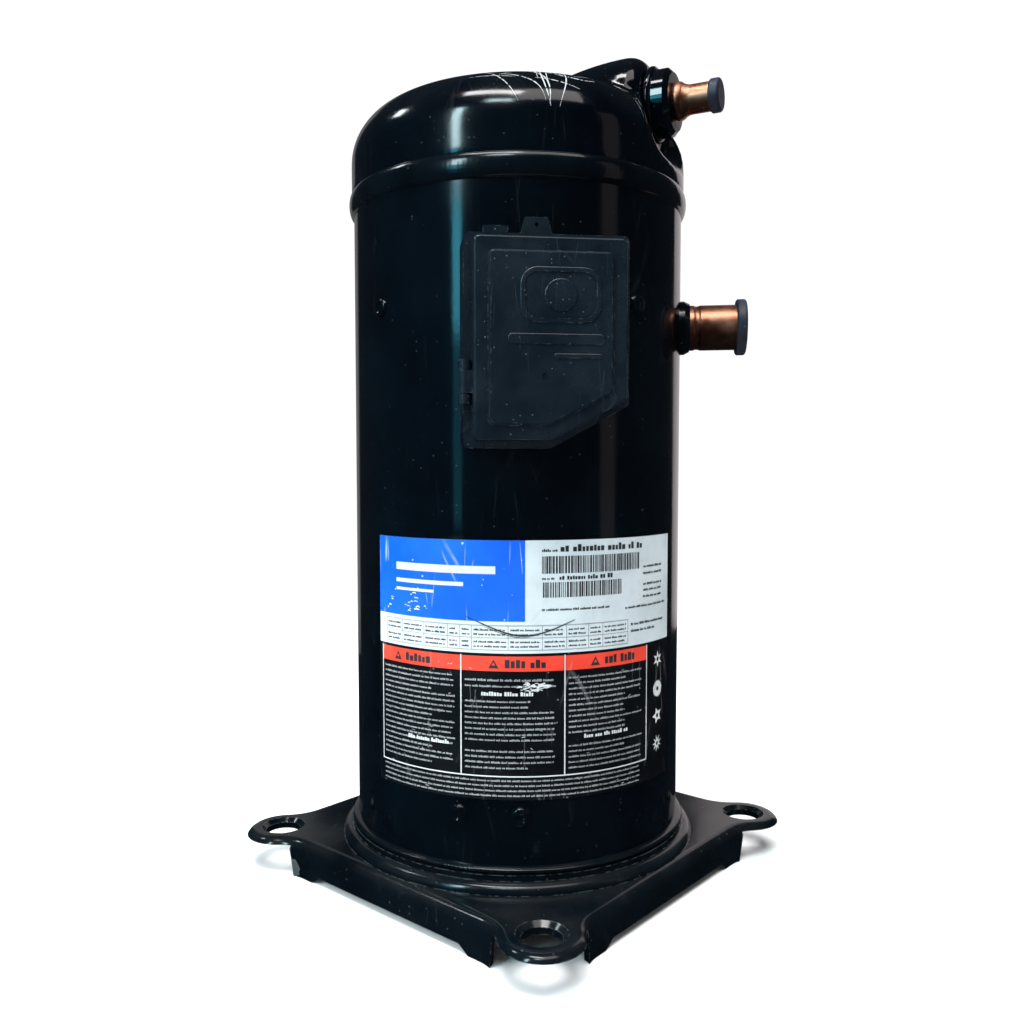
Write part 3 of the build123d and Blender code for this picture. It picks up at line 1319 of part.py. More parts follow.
for piece in (
    mounting_base,
    center_shell,
    bottom_cap,
    top_cap,
    seam_weld,
    base_weld,
    upper_plug_welds,
    lower_plug_welds,
    nameplate,
    discharge_boss,
    check_valve_seat,
    check_valve_disc,
    discharge_tube,
    discharge_plug,
    suction_boss,
    suction_tube,
    suction_plug,
    suction_baffle,
    terminal_box_base,
    terminal_cover,
    hinge_pin,
    terminal_gasket,
    terminal_cup,
    glass_seals,
    terminal_pins,
    ground_screw,
    muffler_plate,
    relief_valve,
    floating_seal,
    fixed_scroll,
    orbiting_scroll,
    orbiting_bush,
    oldham_ring,
    main_bearing_housing,
    main_bearing_bush,
    scroll_sleeves,
    scroll_bolts,
    crankshaft,
    drive_bushing,
    oil_pickup,
    rotor_core,
    rotor_end_rings,
    upper_counterweight,
    lower_counterweight,
    stator_core,
    stator_winding,
    motor_protector,
    lower_bearing_bracket,
    lower_bearing_bush,
    sump_magnet,
):
    export_step(piece.part, f"parts/{piece.part.label}.step")
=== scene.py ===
"""The looks of an upright scroll compressor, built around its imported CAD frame.

Places come from the frame. MM turns a size in millimetres into the frame's metres.
"""
import math
import random

import bmesh
import bpy
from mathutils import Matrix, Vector
from mathutils.bvhtree import BVHTree


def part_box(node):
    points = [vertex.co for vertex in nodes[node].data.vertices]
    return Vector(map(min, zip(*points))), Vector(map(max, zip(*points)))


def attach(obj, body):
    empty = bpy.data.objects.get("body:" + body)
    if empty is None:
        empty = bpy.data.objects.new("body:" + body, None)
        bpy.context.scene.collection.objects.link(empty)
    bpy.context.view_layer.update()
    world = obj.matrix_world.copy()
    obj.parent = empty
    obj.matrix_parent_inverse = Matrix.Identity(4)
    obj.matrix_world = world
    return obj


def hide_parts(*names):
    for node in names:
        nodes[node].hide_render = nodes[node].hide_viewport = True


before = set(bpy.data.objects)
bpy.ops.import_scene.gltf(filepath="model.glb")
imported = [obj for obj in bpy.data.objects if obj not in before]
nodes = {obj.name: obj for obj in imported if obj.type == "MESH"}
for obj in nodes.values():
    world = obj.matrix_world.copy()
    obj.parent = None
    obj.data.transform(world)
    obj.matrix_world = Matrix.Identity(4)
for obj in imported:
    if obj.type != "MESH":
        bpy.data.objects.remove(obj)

MM = 0.001
TURN = 2 * math.pi
UP = Vector((0, 0, 1))
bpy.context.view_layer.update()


# ---------------------------------------------------------------- node tools
def node(tree, kind, **settings):
    """A node with its settings; a setting called in_NAME gives that input its value."""
    made = tree.nodes.new(kind)
    for key, value in settings.items():
        if key.startswith("in_"):
            made.inputs[key[3:].replace("_", " ")].default_value = value
        else:
            setattr(made, key, value)
    return made


def wire(tree, source, target):
    tree.links.new(source, target)


def maths(tree, operation, first, second=None, clamp=False):
    """A Math node; each operand is a socket or a number. Returns its output."""
    made = node(tree, "ShaderNodeMath", operation=operation, use_clamp=clamp)
    for index, operand in enumerate((first, second)):
        if operand is None:
            continue
        if isinstance(operand, (int, float)):
            made.inputs[index].default_value = operand
        else:
            wire(tree, operand, made.inputs[index])
    return made.outputs[0]


def spread(tree, value, low, high, to_low=0.0, to_high=1.0):
    """Maps value from low..high to to_low..to_high, clamped."""
    made = node(tree, "ShaderNodeMapRange")
    wire(tree, value, made.inputs["Value"])
    for name, number in (("From Min", low), ("From Max", high), ("To Min", to_low), ("To Max", to_high)):
        if isinstance(number, (int, float)):
            made.inputs[name].default_value = number
        else:
            wire(tree, number, made.inputs[name])
    return made.outputs["Result"]


def blend_colour(tree, mask, under, over):
    """under where mask is 0, over where it is 1; each colour is a socket or a tuple."""
    made = node(tree, "ShaderNodeMix", data_type="RGBA")
    wire(tree, mask, made.inputs[0])
    for socket, colour in ((made.inputs[6], under), (made.inputs[7], over)):
        if isinstance(colour, tuple):
            socket.default_value = (*colour, 1.0)
        else:
            wire(tree, colour, socket)
    return made.outputs[2]


def effect(name, inputs, outputs):
    """A new shader node group: its tree, input node and output node."""
    tree = bpy.data.node_groups.new(name, "ShaderNodeTree")
    for label, value in inputs.items():
        socket = tree.interface.new_socket(name=label, in_out="INPUT", socket_type="NodeSocketFloat")
        socket.default_value = value
    for label in outputs:
        tree.interface.new_socket(name=label, in_out="OUTPUT", socket_type="NodeSocketFloat")
    return tree, tree.nodes.new("NodeGroupInput"), tree.nodes.new("NodeGroupOutput")


def place(tree, group, **values):
    """An effect's group node inside a material, with its own values."""
    made = tree.nodes.new("ShaderNodeGroup")
    made.node_tree = group
    for label, value in values.items():
        made.inputs[label].default_value = value
    return made


# ---------------------------------------------------------------- shared effects
def make_mottle():
    """Soft cloudy variation between 0 and 1."""
    tree, given, out = effect("mottle", {"Scale": 60.0, "Detail": 4.0, "Low": 0.35, "High": 0.65}, ["Value"])
    place_in = node(tree, "ShaderNodeTexCoord")
    noise = node(tree, "ShaderNodeTexNoise", in_Roughness=0.6)
    wire(tree, place_in.outputs["Object"], noise.inputs["Vector"])
    wire(tree, given.outputs["Scale"], noise.inputs["Scale"])
    wire(tree, given.outputs["Detail"], noise.inputs["Detail"])
    value = spread(tree, noise.outputs["Fac"], given.outputs["Low"], given.outputs["High"])
    wire(tree, value, out.inputs["Value"])
    return tree


def make_edge_wear_and_highlight():
    """Where corners are rubbed, and where the box plastic's edges get a painted highlight: the difference
    from a rounded normal, broken up by noise.
    """
    tree, given, out = effect("edge_wear_and_highlight", {"Radius": 0.8 * MM, "Scale": 250.0, "Amount": 0.5}, ["Mask"])
    rounded = node(tree, "ShaderNodeBevel", samples=4)
    wire(tree, given.outputs["Radius"], rounded.inputs["Radius"])
    surface = node(tree, "ShaderNodeNewGeometry")
    turned = node(tree, "ShaderNodeVectorMath", operation="DOT_PRODUCT")
    wire(tree, rounded.outputs["Normal"], turned.inputs[0])
    wire(tree, surface.outputs["Normal"], turned.inputs[1])
    corner = spread(tree, turned.outputs["Value"], 0.985, 0.86)
    where = node(tree, "ShaderNodeTexCoord")
    noise = node(tree, "ShaderNodeTexNoise", in_Detail=6.0, in_Roughness=0.7)
    wire(tree, where.outputs["Object"], noise.inputs["Vector"])
    wire(tree, given.outputs["Scale"], noise.inputs["Scale"])
    limit = maths(tree, "SUBTRACT", 0.78, maths(tree, "MULTIPLY", given.outputs["Amount"], 0.4))
    chip = maths(tree, "GREATER_THAN", noise.outputs["Fac"], limit)
    wire(tree, maths(tree, "MULTIPLY", corner, chip, clamp=True), out.inputs["Mask"])
    return tree


def make_dust():
    """A thin film on faces that look up, with separate specks everywhere."""
    tree, given, out = effect("dust", {"Film": 0.3, "Specks": 0.5, "Scale": 420.0}, ["Mask"])
    where = node(tree, "ShaderNodeTexCoord")
    surface = node(tree, "ShaderNodeNewGeometry")
    split = node(tree, "ShaderNodeSeparateXYZ")
    wire(tree, surface.outputs["Normal"], split.inputs[0])
    upward = spread(tree, split.outputs["Z"], 0.2, 1.0)
    cloud = node(tree, "ShaderNodeTexNoise", in_Scale=35.0, in_Detail=5.0)
    wire(tree, where.outputs["Object"], cloud.inputs["Vector"])
    film = maths(tree, "MULTIPLY", upward, spread(tree, cloud.outputs["Fac"], 0.35, 0.7))
    film = maths(tree, "MULTIPLY", film, given.outputs["Film"])
    cells = node(tree, "ShaderNodeTexVoronoi")
    wire(tree, where.outputs["Object"], cells.inputs["Vector"])
    wire(tree, given.outputs["Scale"], cells.inputs["Scale"])
    pick = node(tree, "ShaderNodeSeparateColor")
    wire(tree, cells.outputs["Color"], pick.inputs[0])
    size = spread(tree, pick.outputs["Red"], 0.80, 1.0, 0.0, 0.20)
    speck = maths(tree, "LESS_THAN", cells.outputs["Distance"], size)
    speck = maths(tree, "MULTIPLY", speck, given.outputs["Specks"])
    wire(tree, maths(tree, "ADD", film, speck, clamp=True), out.inputs["Mask"])
    return tree


def make_scratches():
    """Fine straight hairlines in two directions."""
    tree, given, out = effect("scratches", {"Amount": 0.4, "Scale": 60.0}, ["Mask"])
    where = node(tree, "ShaderNodeTexCoord")
    layers = []
    for turn, stretch in ((0.5, 0.10), (-0.9, 0.16)):
        mapping = node(tree, "ShaderNodeMapping", in_Rotation=(turn, turn / 2, 0.3), in_Scale=(1, 1, stretch))
        wire(tree, where.outputs["Object"], mapping.inputs["Vector"])
        cells = node(tree, "ShaderNodeTexVoronoi", feature="DISTANCE_TO_EDGE")
        wire(tree, mapping.outputs["Vector"], cells.inputs["Vector"])
        wire(tree, given.outputs["Scale"], cells.inputs["Scale"])
        line = spread(tree, cells.outputs["Distance"], 0.012, 0.0)
        gaps = node(tree, "ShaderNodeTexNoise", in_Scale=45.0 + 20 * stretch)
        wire(tree, where.outputs["Object"], gaps.inputs["Vector"])
        layers.append(maths(tree, "MULTIPLY", line, spread(tree, gaps.outputs["Fac"], 0.52, 0.66)))
    both = maths(tree, "MAXIMUM", *layers)
    wire(tree, maths(tree, "MULTIPLY", both, given.outputs["Amount"], clamp=True), out.inputs["Mask"])
    return tree


def make_skin_ripple():
    """The height of a sprayed or moulded skin: broad waves under a fine grain."""
    tree, given, out = effect("skin_ripple", {"Scale": 300.0, "Fine": 0.3}, ["Height"])
    where = node(tree, "ShaderNodeTexCoord")
    broad = node(tree, "ShaderNodeTexNoise", in_Detail=2.0)
    fine = node(tree, "ShaderNodeTexNoise", in_Detail=3.0)
    wire(tree, where.outputs["Object"], broad.inputs["Vector"])
    wire(tree, where.outputs["Object"], fine.inputs["Vector"])
    wire(tree, given.outputs["Scale"], broad.inputs["Scale"])
    wire(tree, maths(tree, "MULTIPLY", given.outputs["Scale"], 6.0), fine.inputs["Scale"])
    grain = maths(tree, "MULTIPLY", fine.outputs["Fac"], given.outputs["Fine"])
    wire(tree, maths(tree, "ADD", broad.outputs["Fac"], grain), out.inputs["Height"])
    return tree


mottle = make_mottle()
edge_wear_and_highlight = make_edge_wear_and_highlight()
dust = make_dust()
scratches = make_scratches()
skin_ripple = make_skin_ripple()


# ---------------------------------------------------------------- materials
def new_material(name):
    """An empty node material with its Principled shader already wired to the output."""
    material = bpy.data.materials.new(name)
    material.use_nodes = True
    tree = material.node_tree
    tree.nodes.clear()
    shader = tree.nodes.new("ShaderNodeBsdfPrincipled")
    output = tree.nodes.new("ShaderNodeOutputMaterial")
    wire(tree, shader.outputs["BSDF"], output.inputs["Surface"])
    return material, tree, shader


def rough_skin(tree, shader, scale, fine, strength, depth):
    """Feeds the shader's normal from a skin ripple."""
    ripple = place(tree, skin_ripple, Scale=scale, Fine=fine)
    bump = node(tree, "ShaderNodeBump", in_Strength=strength, in_Distance=depth)
    wire(tree, ripple.outputs["Height"], bump.inputs["Height"])
    wire(tree, bump.outputs["Normal"], shader.inputs["Normal"])


def pale_patch(tree, spot, reach):
    """A mask for a pale patch round one spot, with a ragged rim."""
    where = node(tree, "ShaderNodeTexCoord")
    away = node(tree, "ShaderNodeVectorMath", operation="DISTANCE")
    wire(tree, where.outputs["Object"], away.inputs[0])
    away.inputs[1].default_value = spot
    ragged = node(tree, "ShaderNodeTexNoise", in_Scale=190.0, in_Detail=5.0)
    wire(tree, where.outputs["Object"], ragged.inputs["Vector"])
    raggedness = maths(tree, "MULTIPLY", ragged.outputs["Fac"], reach * 1.2)
    rim = maths(tree, "ADD", away.outputs["Value"], raggedness)
    return spread(tree, rim, reach * 1.35, reach * 1.25)


def enamel(name, dark, light, gloss, film=0.03, specks=0.16, wear=0.35, peel=0.05, hairlines=0.10,
           pale_spots=()):
    """Sprayed enamel over steel: cloudy colour, orange peel, dust, hairlines, chipped edges and any pale
    patches given.
    """
    material, tree, shader = new_material(name)
    cloud = place(tree, mottle, Scale=22.0)
    colour = blend_colour(tree, cloud.outputs["Value"], dark, light)
    hair = place(tree, scratches, Amount=hairlines, Scale=38.0)
    colour = blend_colour(tree, hair.outputs["Mask"], colour, (0.05, 0.055, 0.055))
    settled = place(tree, dust, Film=film, Specks=specks)
    colour = blend_colour(tree, settled.outputs["Mask"], colour, (0.16, 0.155, 0.145))
    rubbed = place(tree, edge_wear_and_highlight, Radius=0.7 * MM, Amount=wear)
    bare_edges_and_pale_patches = rubbed.outputs["Mask"]
    # pale metal-coloured patches round the given spots join the bare edges
    for spot, reach in pale_spots:
        bare_edges_and_pale_patches = maths(tree, "MAXIMUM", bare_edges_and_pale_patches, pale_patch(tree, spot, reach))
    colour = blend_colour(tree, bare_edges_and_pale_patches, colour, (0.20, 0.25, 0.25))
    wire(tree, colour, shader.inputs["Base Color"])
    smear = place(tree, mottle, Scale=9.0, Detail=6.0)
    dull = spread(tree, smear.outputs["Value"], 0.0, 1.0, gloss, gloss + 0.10)
    dull = maths(tree, "ADD", dull, maths(tree, "MULTIPLY", settled.outputs["Mask"], 0.5))
    dull = maths(tree, "ADD", dull, maths(tree, "MULTIPLY", bare_edges_and_pale_patches, 0.2), clamp=True)
    wire(tree, dull, shader.inputs["Roughness"])
    wire(tree, maths(tree, "MULTIPLY", bare_edges_and_pale_patches, 0.8), shader.inputs["Metallic"])
    rough_skin(tree, shader, 210.0, 0.05, peel, 0.3 * MM)
    return material


def metal(name, dark, light, rough, scale=90.0, wear=0.4, grain=700.0, relief=0.15, tarnish=None):
    """Bare metal: two tones, tarnish in patches, brighter rubbed edges and a fine surface."""
    material, tree, shader = new_material(name)
    cloud = place(tree, mottle, Scale=scale, Detail=7.0)
    colour = blend_colour(tree, cloud.outputs["Value"], dark, light)
    if tarnish:
        patch = place(tree, mottle, Scale=scale / 3, Detail=8.0, Low=0.52, High=0.68)
        colour = blend_colour(tree, patch.outputs["Value"], colour, tarnish)
    hair = place(tree, scratches, Amount=0.5, Scale=110.0)
    colour = blend_colour(tree, hair.outputs["Mask"], colour, tuple(min(1.0, c * 1.35) for c in light))
    rubbed = place(tree, edge_wear_and_highlight, Radius=0.5 * MM, Amount=wear)
    colour = blend_colour(tree, rubbed.outputs["Mask"], colour, tuple(min(1.0, c * 1.5) for c in light))
    wire(tree, colour, shader.inputs["Base Color"])
    shader.inputs["Metallic"].default_value = 1.0
    dull = spread(tree, cloud.outputs["Value"], 0.0, 1.0, rough, min(1.0, rough + 0.18))
    wire(tree, dull, shader.inputs["Roughness"])
    rough_skin(tree, shader, grain, 0.4, relief, 0.12 * MM)
    return material


def moulded(name, dark, light, rough, peel=0.2, film=0.3, wear=0.15):
    """Moulded plastic or rubber: fine grain, lighter edges and dust in the open faces; the lighter edges are
    rubbed wear on the rubber and the magnets, and a painted highlight along the box plastic's edges.
    """
    material, tree, shader = new_material(name)
    cloud = place(tree, mottle, Scale=45.0)
    colour = blend_colour(tree, cloud.outputs["Value"], dark, light)
    hair = place(tree, scratches, Amount=0.3, Scale=70.0)
    colour = blend_colour(tree, hair.outputs["Mask"], colour, tuple(min(1.0, 0.06 + c * 2) for c in light))
    settled = place(tree, dust, Film=film, Specks=0.35, Scale=520.0)
    colour = blend_colour(tree, settled.outputs["Mask"], colour, (0.20, 0.20, 0.19))
    # lighter edges: wear on the rubber and the magnets; on the box plastic, with its high amount, a painted
    # highlight along the edges
    rubbed = place(tree, edge_wear_and_highlight, Radius=0.6 * MM, Amount=wear)
    worn_and_highlit_colour = tuple(min(1.0, 0.05 + c * 2.5) for c in light)
    colour = blend_colour(tree, rubbed.outputs["Mask"], colour, worn_and_highlit_colour)
    wire(tree, colour, shader.inputs["Base Color"])
    dull = spread(tree, cloud.outputs["Value"], 0.0, 1.0, rough, rough + 0.12)
    wire(tree, maths(tree, "ADD", dull, maths(tree, "MULTIPLY", settled.outputs["Mask"], 0.3), clamp=True),
         shader.inputs["Roughness"])
    rough_skin(tree, shader, 420.0, 0.6, peel, 0.15 * MM)
    return material


def printed(name, dark, light, scuff, rough=0.32, scuffing=0.5):
    """Printing ink or film on the nameplate: faint mottling, hairlines and rubbed specks."""
    material, tree, shader = new_material(name)
    cloud = place(tree, mottle, Scale=30.0)
    colour = blend_colour(tree, cloud.outputs["Value"], dark, light)
    hair = place(tree, scratches, Amount=scuffing, Scale=55.0)
    colour = blend_colour(tree, hair.outputs["Mask"], colour, scuff)
    settled = place(tree, dust, Film=0.0, Specks=scuffing, Scale=330.0)
    colour = blend_colour(tree, settled.outputs["Mask"], colour, scuff)
    wire(tree, colour, shader.inputs["Base Color"])
    dull = spread(tree, cloud.outputs["Value"], 0.0, 1.0, rough, rough + 0.12)
    wire(tree, dull, shader.inputs["Roughness"])
    rough_skin(tree, shader, 160.0, 0.1, 0.05, 0.2 * MM)
    return material


def bead_glass(name):
    """The fused glass round the terminal pins."""
    material, tree, shader = new_material(name)
    cloud = place(tree, mottle, Scale=300.0)
    wire(tree, blend_colour(tree, cloud.outputs["Value"], (0.10, 0.16, 0.13), (0.20, 0.27, 0.22)),
         shader.inputs["Base Color"])
    wire(tree, spread(tree, cloud.outputs["Value"], 0.0, 1.0, 0.05, 0.16), shader.inputs["Roughness"])
    shader.inputs["Transmission Weight"].default_value = 0.35
    rough_skin(tree, shader, 500.0, 0.2, 0.1, 0.1 * MM)
    return material


def stacked_laminations(name):
    """Thin electrical steel sheets: fine lines across the stack."""
    material, tree, shader = new_material(name)
    where = node(tree, "ShaderNodeTexCoord")
    sheets = node(tree, "ShaderNodeTexWave", wave_type="BANDS", bands_direction="Z", in_Scale=320.0,
                  in_Distortion=0.4)
    wire(tree, where.outputs["Object"], sheets.inputs["Vector"])
    wire(tree, blend_colour(tree, sheets.outputs["Fac"], (0.07, 0.075, 0.085), (0.30, 0.31, 0.33)),
         shader.inputs["Base Color"])
    shader.inputs["Metallic"].default_value = 0.9
    wire(tree, spread(tree, sheets.outputs["Fac"], 0.0, 1.0, 0.55, 0.35), shader.inputs["Roughness"])
    bump = node(tree, "ShaderNodeBump", in_Strength=0.4, in_Distance=0.2 * MM)
    wire(tree, sheets.outputs["Fac"], bump.inputs["Height"])
    wire(tree, bump.outputs["Normal"], shader.inputs["Normal"])
    return material


def varnished_winding(name):
    """Varnished copper wire: strands running round the bundle."""
    material, tree, shader = new_material(name)
    where = node(tree, "ShaderNodeTexCoord")
    strands = node(tree, "ShaderNodeTexWave", wave_type="RINGS", rings_direction="Z", in_Scale=330.0,
                   in_Distortion=5.0, in_Detail=3.0)
    wire(tree, where.outputs["Object"], strands.inputs["Vector"])
    wire(tree, blend_colour(tree, strands.outputs["Fac"], (0.16, 0.045, 0.012), (0.62, 0.24, 0.09)),
         shader.inputs["Base Color"])
    shader.inputs["Metallic"].default_value = 0.6
    shader.inputs["Coat Weight"].default_value = 0.5
    wire(tree, spread(tree, strands.outputs["Fac"], 0.0, 1.0, 0.5, 0.28), shader.inputs["Roughness"])
    bump = node(tree, "ShaderNodeBump", in_Strength=0.6, in_Distance=0.4 * MM)
    wire(tree, strands.outputs["Fac"], bump.inputs["Height"])
    wire(tree, bump.outputs["Normal"], shader.inputs["Normal"])
    return material


shell_enamel = enamel("shell_enamel", (0.0004, 0.0012, 0.0026), (0.0008, 0.0028, 0.0050), 0.06)
# pale metal-coloured spots at the ends of the skirts beside one foot, each with its reach
SKIRT_PALE_SPOTS = (
    ((-0.0735, -0.1045, 0.004), 7 * MM),
    ((-0.079, -0.104, 0.012), 5 * MM),
    ((-0.104, -0.072, 0.008), 9 * MM),
)
base_enamel = enamel(
    "base_enamel", (0.0008, 0.002, 0.0034), (0.002, 0.0045, 0.0070), 0.10,
    film=0.05, specks=0.25, wear=0.7, hairlines=0.2, pale_spots=SKIRT_PALE_SPOTS,
)
weld_enamel = enamel(
    "weld_enamel", (0.0006, 0.0016, 0.003), (0.0015, 0.004, 0.0065), 0.08, peel=0.12, wear=0.2,
)
finishes = {
    "painted_steel": shell_enamel,
    "label_film": printed("label_film", (0.0015, 0.0024, 0.004), (0.004, 0.0055, 0.008), (0.20, 0.21, 0.22)),
    "machined_steel": metal("machined_steel", (0.33, 0.33, 0.34), (0.52, 0.52, 0.52), 0.26),
    "copper": metal("drawn_copper", (0.58, 0.22, 0.12), (0.85, 0.42, 0.28), 0.30, tarnish=(0.26, 0.09, 0.05)),
    "plug_rubber": moulded("plug_rubber", (0.010, 0.014, 0.026), (0.020, 0.026, 0.044), 0.42),
    # the high edge amount paints highlight lines along the edges of the black plastic parts
    "black_plastic": moulded(
        "box_plastic", (0.004, 0.008, 0.013), (0.008, 0.014, 0.020), 0.20, peel=0.08, film=0.06, wear=0.55,
    ),
    "seal_glass": bead_glass("seal_glass"),
    "zinc_screw": metal("zinc_plate", (0.46, 0.46, 0.42), (0.68, 0.67, 0.60), 0.28),
    "bearing_bronze": metal("bearing_bronze", (0.36, 0.20, 0.07), (0.62, 0.38, 0.14), 0.30),
    "cast_iron": metal("cast_iron", (0.10, 0.10, 0.105), (0.24, 0.235, 0.23), 0.42, grain=320.0, relief=0.45),
    "cast_aluminium": metal("cast_aluminium", (0.48, 0.48, 0.49), (0.70, 0.70, 0.70), 0.34, relief=0.35),
    "lamination_steel": stacked_laminations("lamination_steel"),
    "winding_copper": varnished_winding("winding_copper"),
    "magnet_ceramic": moulded("magnet_ceramic", (0.016, 0.015, 0.015), (0.045, 0.042, 0.04), 0.55, peel=0.5),
}


def finish_cad_nodes():
    """Gives every CAD node the finish of its material slot."""
    for cad_node in nodes.values():
        for holder in cad_node.material_slots:
            holder.material = finishes[holder.material.name.split(".")[0]]
    for holder in nodes["mounting_base"].material_slots:
        holder.material = base_enamel


finish_cad_nodes()


# ---------------------------------------------------------------- mesh tools
def add_piece(name, mesh, materials, body, smooth=True):
    """Links a mesh as a piece that rides on a body and carries the given materials."""
    for material in materials:
        mesh.materials.append(material)
    if smooth:
        mesh.shade_smooth()
    piece = bpy.data.objects.new(name, mesh)
    bpy.context.scene.collection.objects.link(piece)
    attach(piece, body)
    return piece


def mesh_from(name, points, faces):
    mesh = bpy.data.meshes.new(name)
    mesh.from_pydata(points, [], faces)
    mesh.update()
    return mesh


# ---------------------------------------------------------------- top cap
CAP_VOXEL = 1.25 * MM
CAP_SMOOTHING = 14


def make_cap_skin():
    """The pressed cap with the soft blends that a press leaves round its hump and pocket."""
    cap = nodes["top_cap"]
    mesh = cap.data.copy()
    shape = bmesh.new()
    shape.from_mesh(mesh)
    bmesh.ops.remove_doubles(shape, verts=shape.verts, dist=0.01 * MM)
    shape.to_mesh(mesh)
    shape.free()
    mesh.materials.clear()
    skin = bpy.data.objects.new("cap_skin", mesh)
    bpy.context.scene.collection.objects.link(skin)
    remesh = skin.modifiers.new("remesh", "REMESH")
    remesh.mode = "VOXEL"
    remesh.voxel_size = CAP_VOXEL
    soften = skin.modifiers.new("soften", "SMOOTH")
    soften.factor = 0.5
    soften.iterations = CAP_SMOOTHING
    graph = bpy.context.evaluated_depsgraph_get()
    pressed = bpy.data.meshes.new_from_object(skin.evaluated_get(graph))
    bpy.data.objects.remove(skin)
    piece = add_piece("cap_skin", pressed, [shell_enamel], "housing")
    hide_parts("top_cap")
    return piece


# ---------------------------------------------------------------- weld beads
BEAD_ROWS = 14
STEPS_PER_RIPPLE = 6


def make_bead(name, cad_name, pitch, height, seed):
    """A run of weld round the shell: overlapping ripples on the bead's own crown."""
    low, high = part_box(cad_name)
    crest = high.x
    half = (high.z - low.z) / 2
    middle = (high.z + low.z) / 2
    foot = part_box("center_shell")[1].x - 0.2 * MM
    around = int(TURN * crest / pitch) * STEPS_PER_RIPPLE
    rows = BEAD_ROWS
    chance = random.Random(seed)
    tilt = [chance.uniform(-1, 1) for _ in range(around // STEPS_PER_RIPPLE + 1)]
    points = []
    for step in range(around):
        angle = TURN * step / around
        phase = step / STEPS_PER_RIPPLE
        drift = 0.18 * MM * math.sin(5 * angle + seed) + 0.12 * MM * math.sin(13 * angle)
        for row in range(rows + 1):
            across = row / rows * 2 - 1
            lag = 1.6 * across * across
            wave = (phase + lag) % 1.0
            crown = math.sqrt(max(0.0, 1 - across * across))
            bump = height * crown * (wave - 0.5 + 0.3 * tilt[int(phase)])
            radius = foot + (crest - foot - height) * crown + bump
            height_here = middle + half * across + drift * crown
            points.append((radius * math.cos(angle), radius * math.sin(angle), height_here))
    faces = []
    for step in range(around):
        here = step * (rows + 1)
        there = (step + 1) % around * (rows + 1)
        for row in range(rows):
            faces.append((here + row, there + row, there + row + 1, here + row + 1))
    inner_low = len(points)
    for step in range(around):
        angle = TURN * step / around
        inner = foot - 0.6 * MM
        points.append((inner * math.cos(angle), inner * math.sin(angle), middle - half))
        points.append((inner * math.cos(angle), inner * math.sin(angle), middle + half))
    for step in range(around):
        here, there = step * (rows + 1), (step + 1) % around * (rows + 1)
        back, front = inner_low + 2 * step, inner_low + 2 * ((step + 1) % around)
        faces.append((back, front, there, here))
        faces.append((here + rows, there + rows, front + 1, back + 1))
        faces.append((back + 1, front + 1, front, back))
    piece = add_piece(name, mesh_from(name, points, faces), [weld_enamel], "housing")
    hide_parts(cad_name)
    return piece


# ---------------------------------------------------------------- nameplate print
LABEL_LAYER = 0.06 * MM
LABEL_SEED = 41
# height of the line where the silver ground meets the black one, in millimetres
LABEL_PARTING = 136.0
# half the width of a triangle's blunt tip, in millimetres
PEAK_HALF = 0.01
INKS = [
    printed("film_black", (0.0015, 0.0024, 0.004), (0.004, 0.0055, 0.008), (0.20, 0.21, 0.22)),
    printed("ink_blue", (0.0, 0.095, 0.66), (0.0, 0.125, 0.80), (0.55, 0.66, 0.80), scuffing=0.6),
    printed("film_silver", (0.50, 0.57, 0.60), (0.62, 0.70, 0.73), (0.30, 0.32, 0.33), scuffing=0.3),
    printed("ink_red", (0.70, 0.035, 0.016), (0.84, 0.055, 0.026), (0.60, 0.40, 0.36)),
    printed("ink_dark", (0.015, 0.018, 0.022), (0.035, 0.040, 0.045), (0.2, 0.2, 0.2), scuffing=0.2),
    printed("ink_white", (0.50, 0.53, 0.54), (0.66, 0.69, 0.70), (0.12, 0.12, 0.12), scuffing=0.3),
    printed("ink_grey", (0.22, 0.24, 0.25), (0.34, 0.36, 0.37), (0.10, 0.10, 0.10), scuffing=0.3),
]
mark_white = printed("rubbed_mark", (0.28, 0.29, 0.30), (0.55, 0.57, 0.58), (0.05, 0.05, 0.05), rough=0.5)
BLACK, BLUE, SILVER, RED, DARK, WHITE, GREY = range(7)


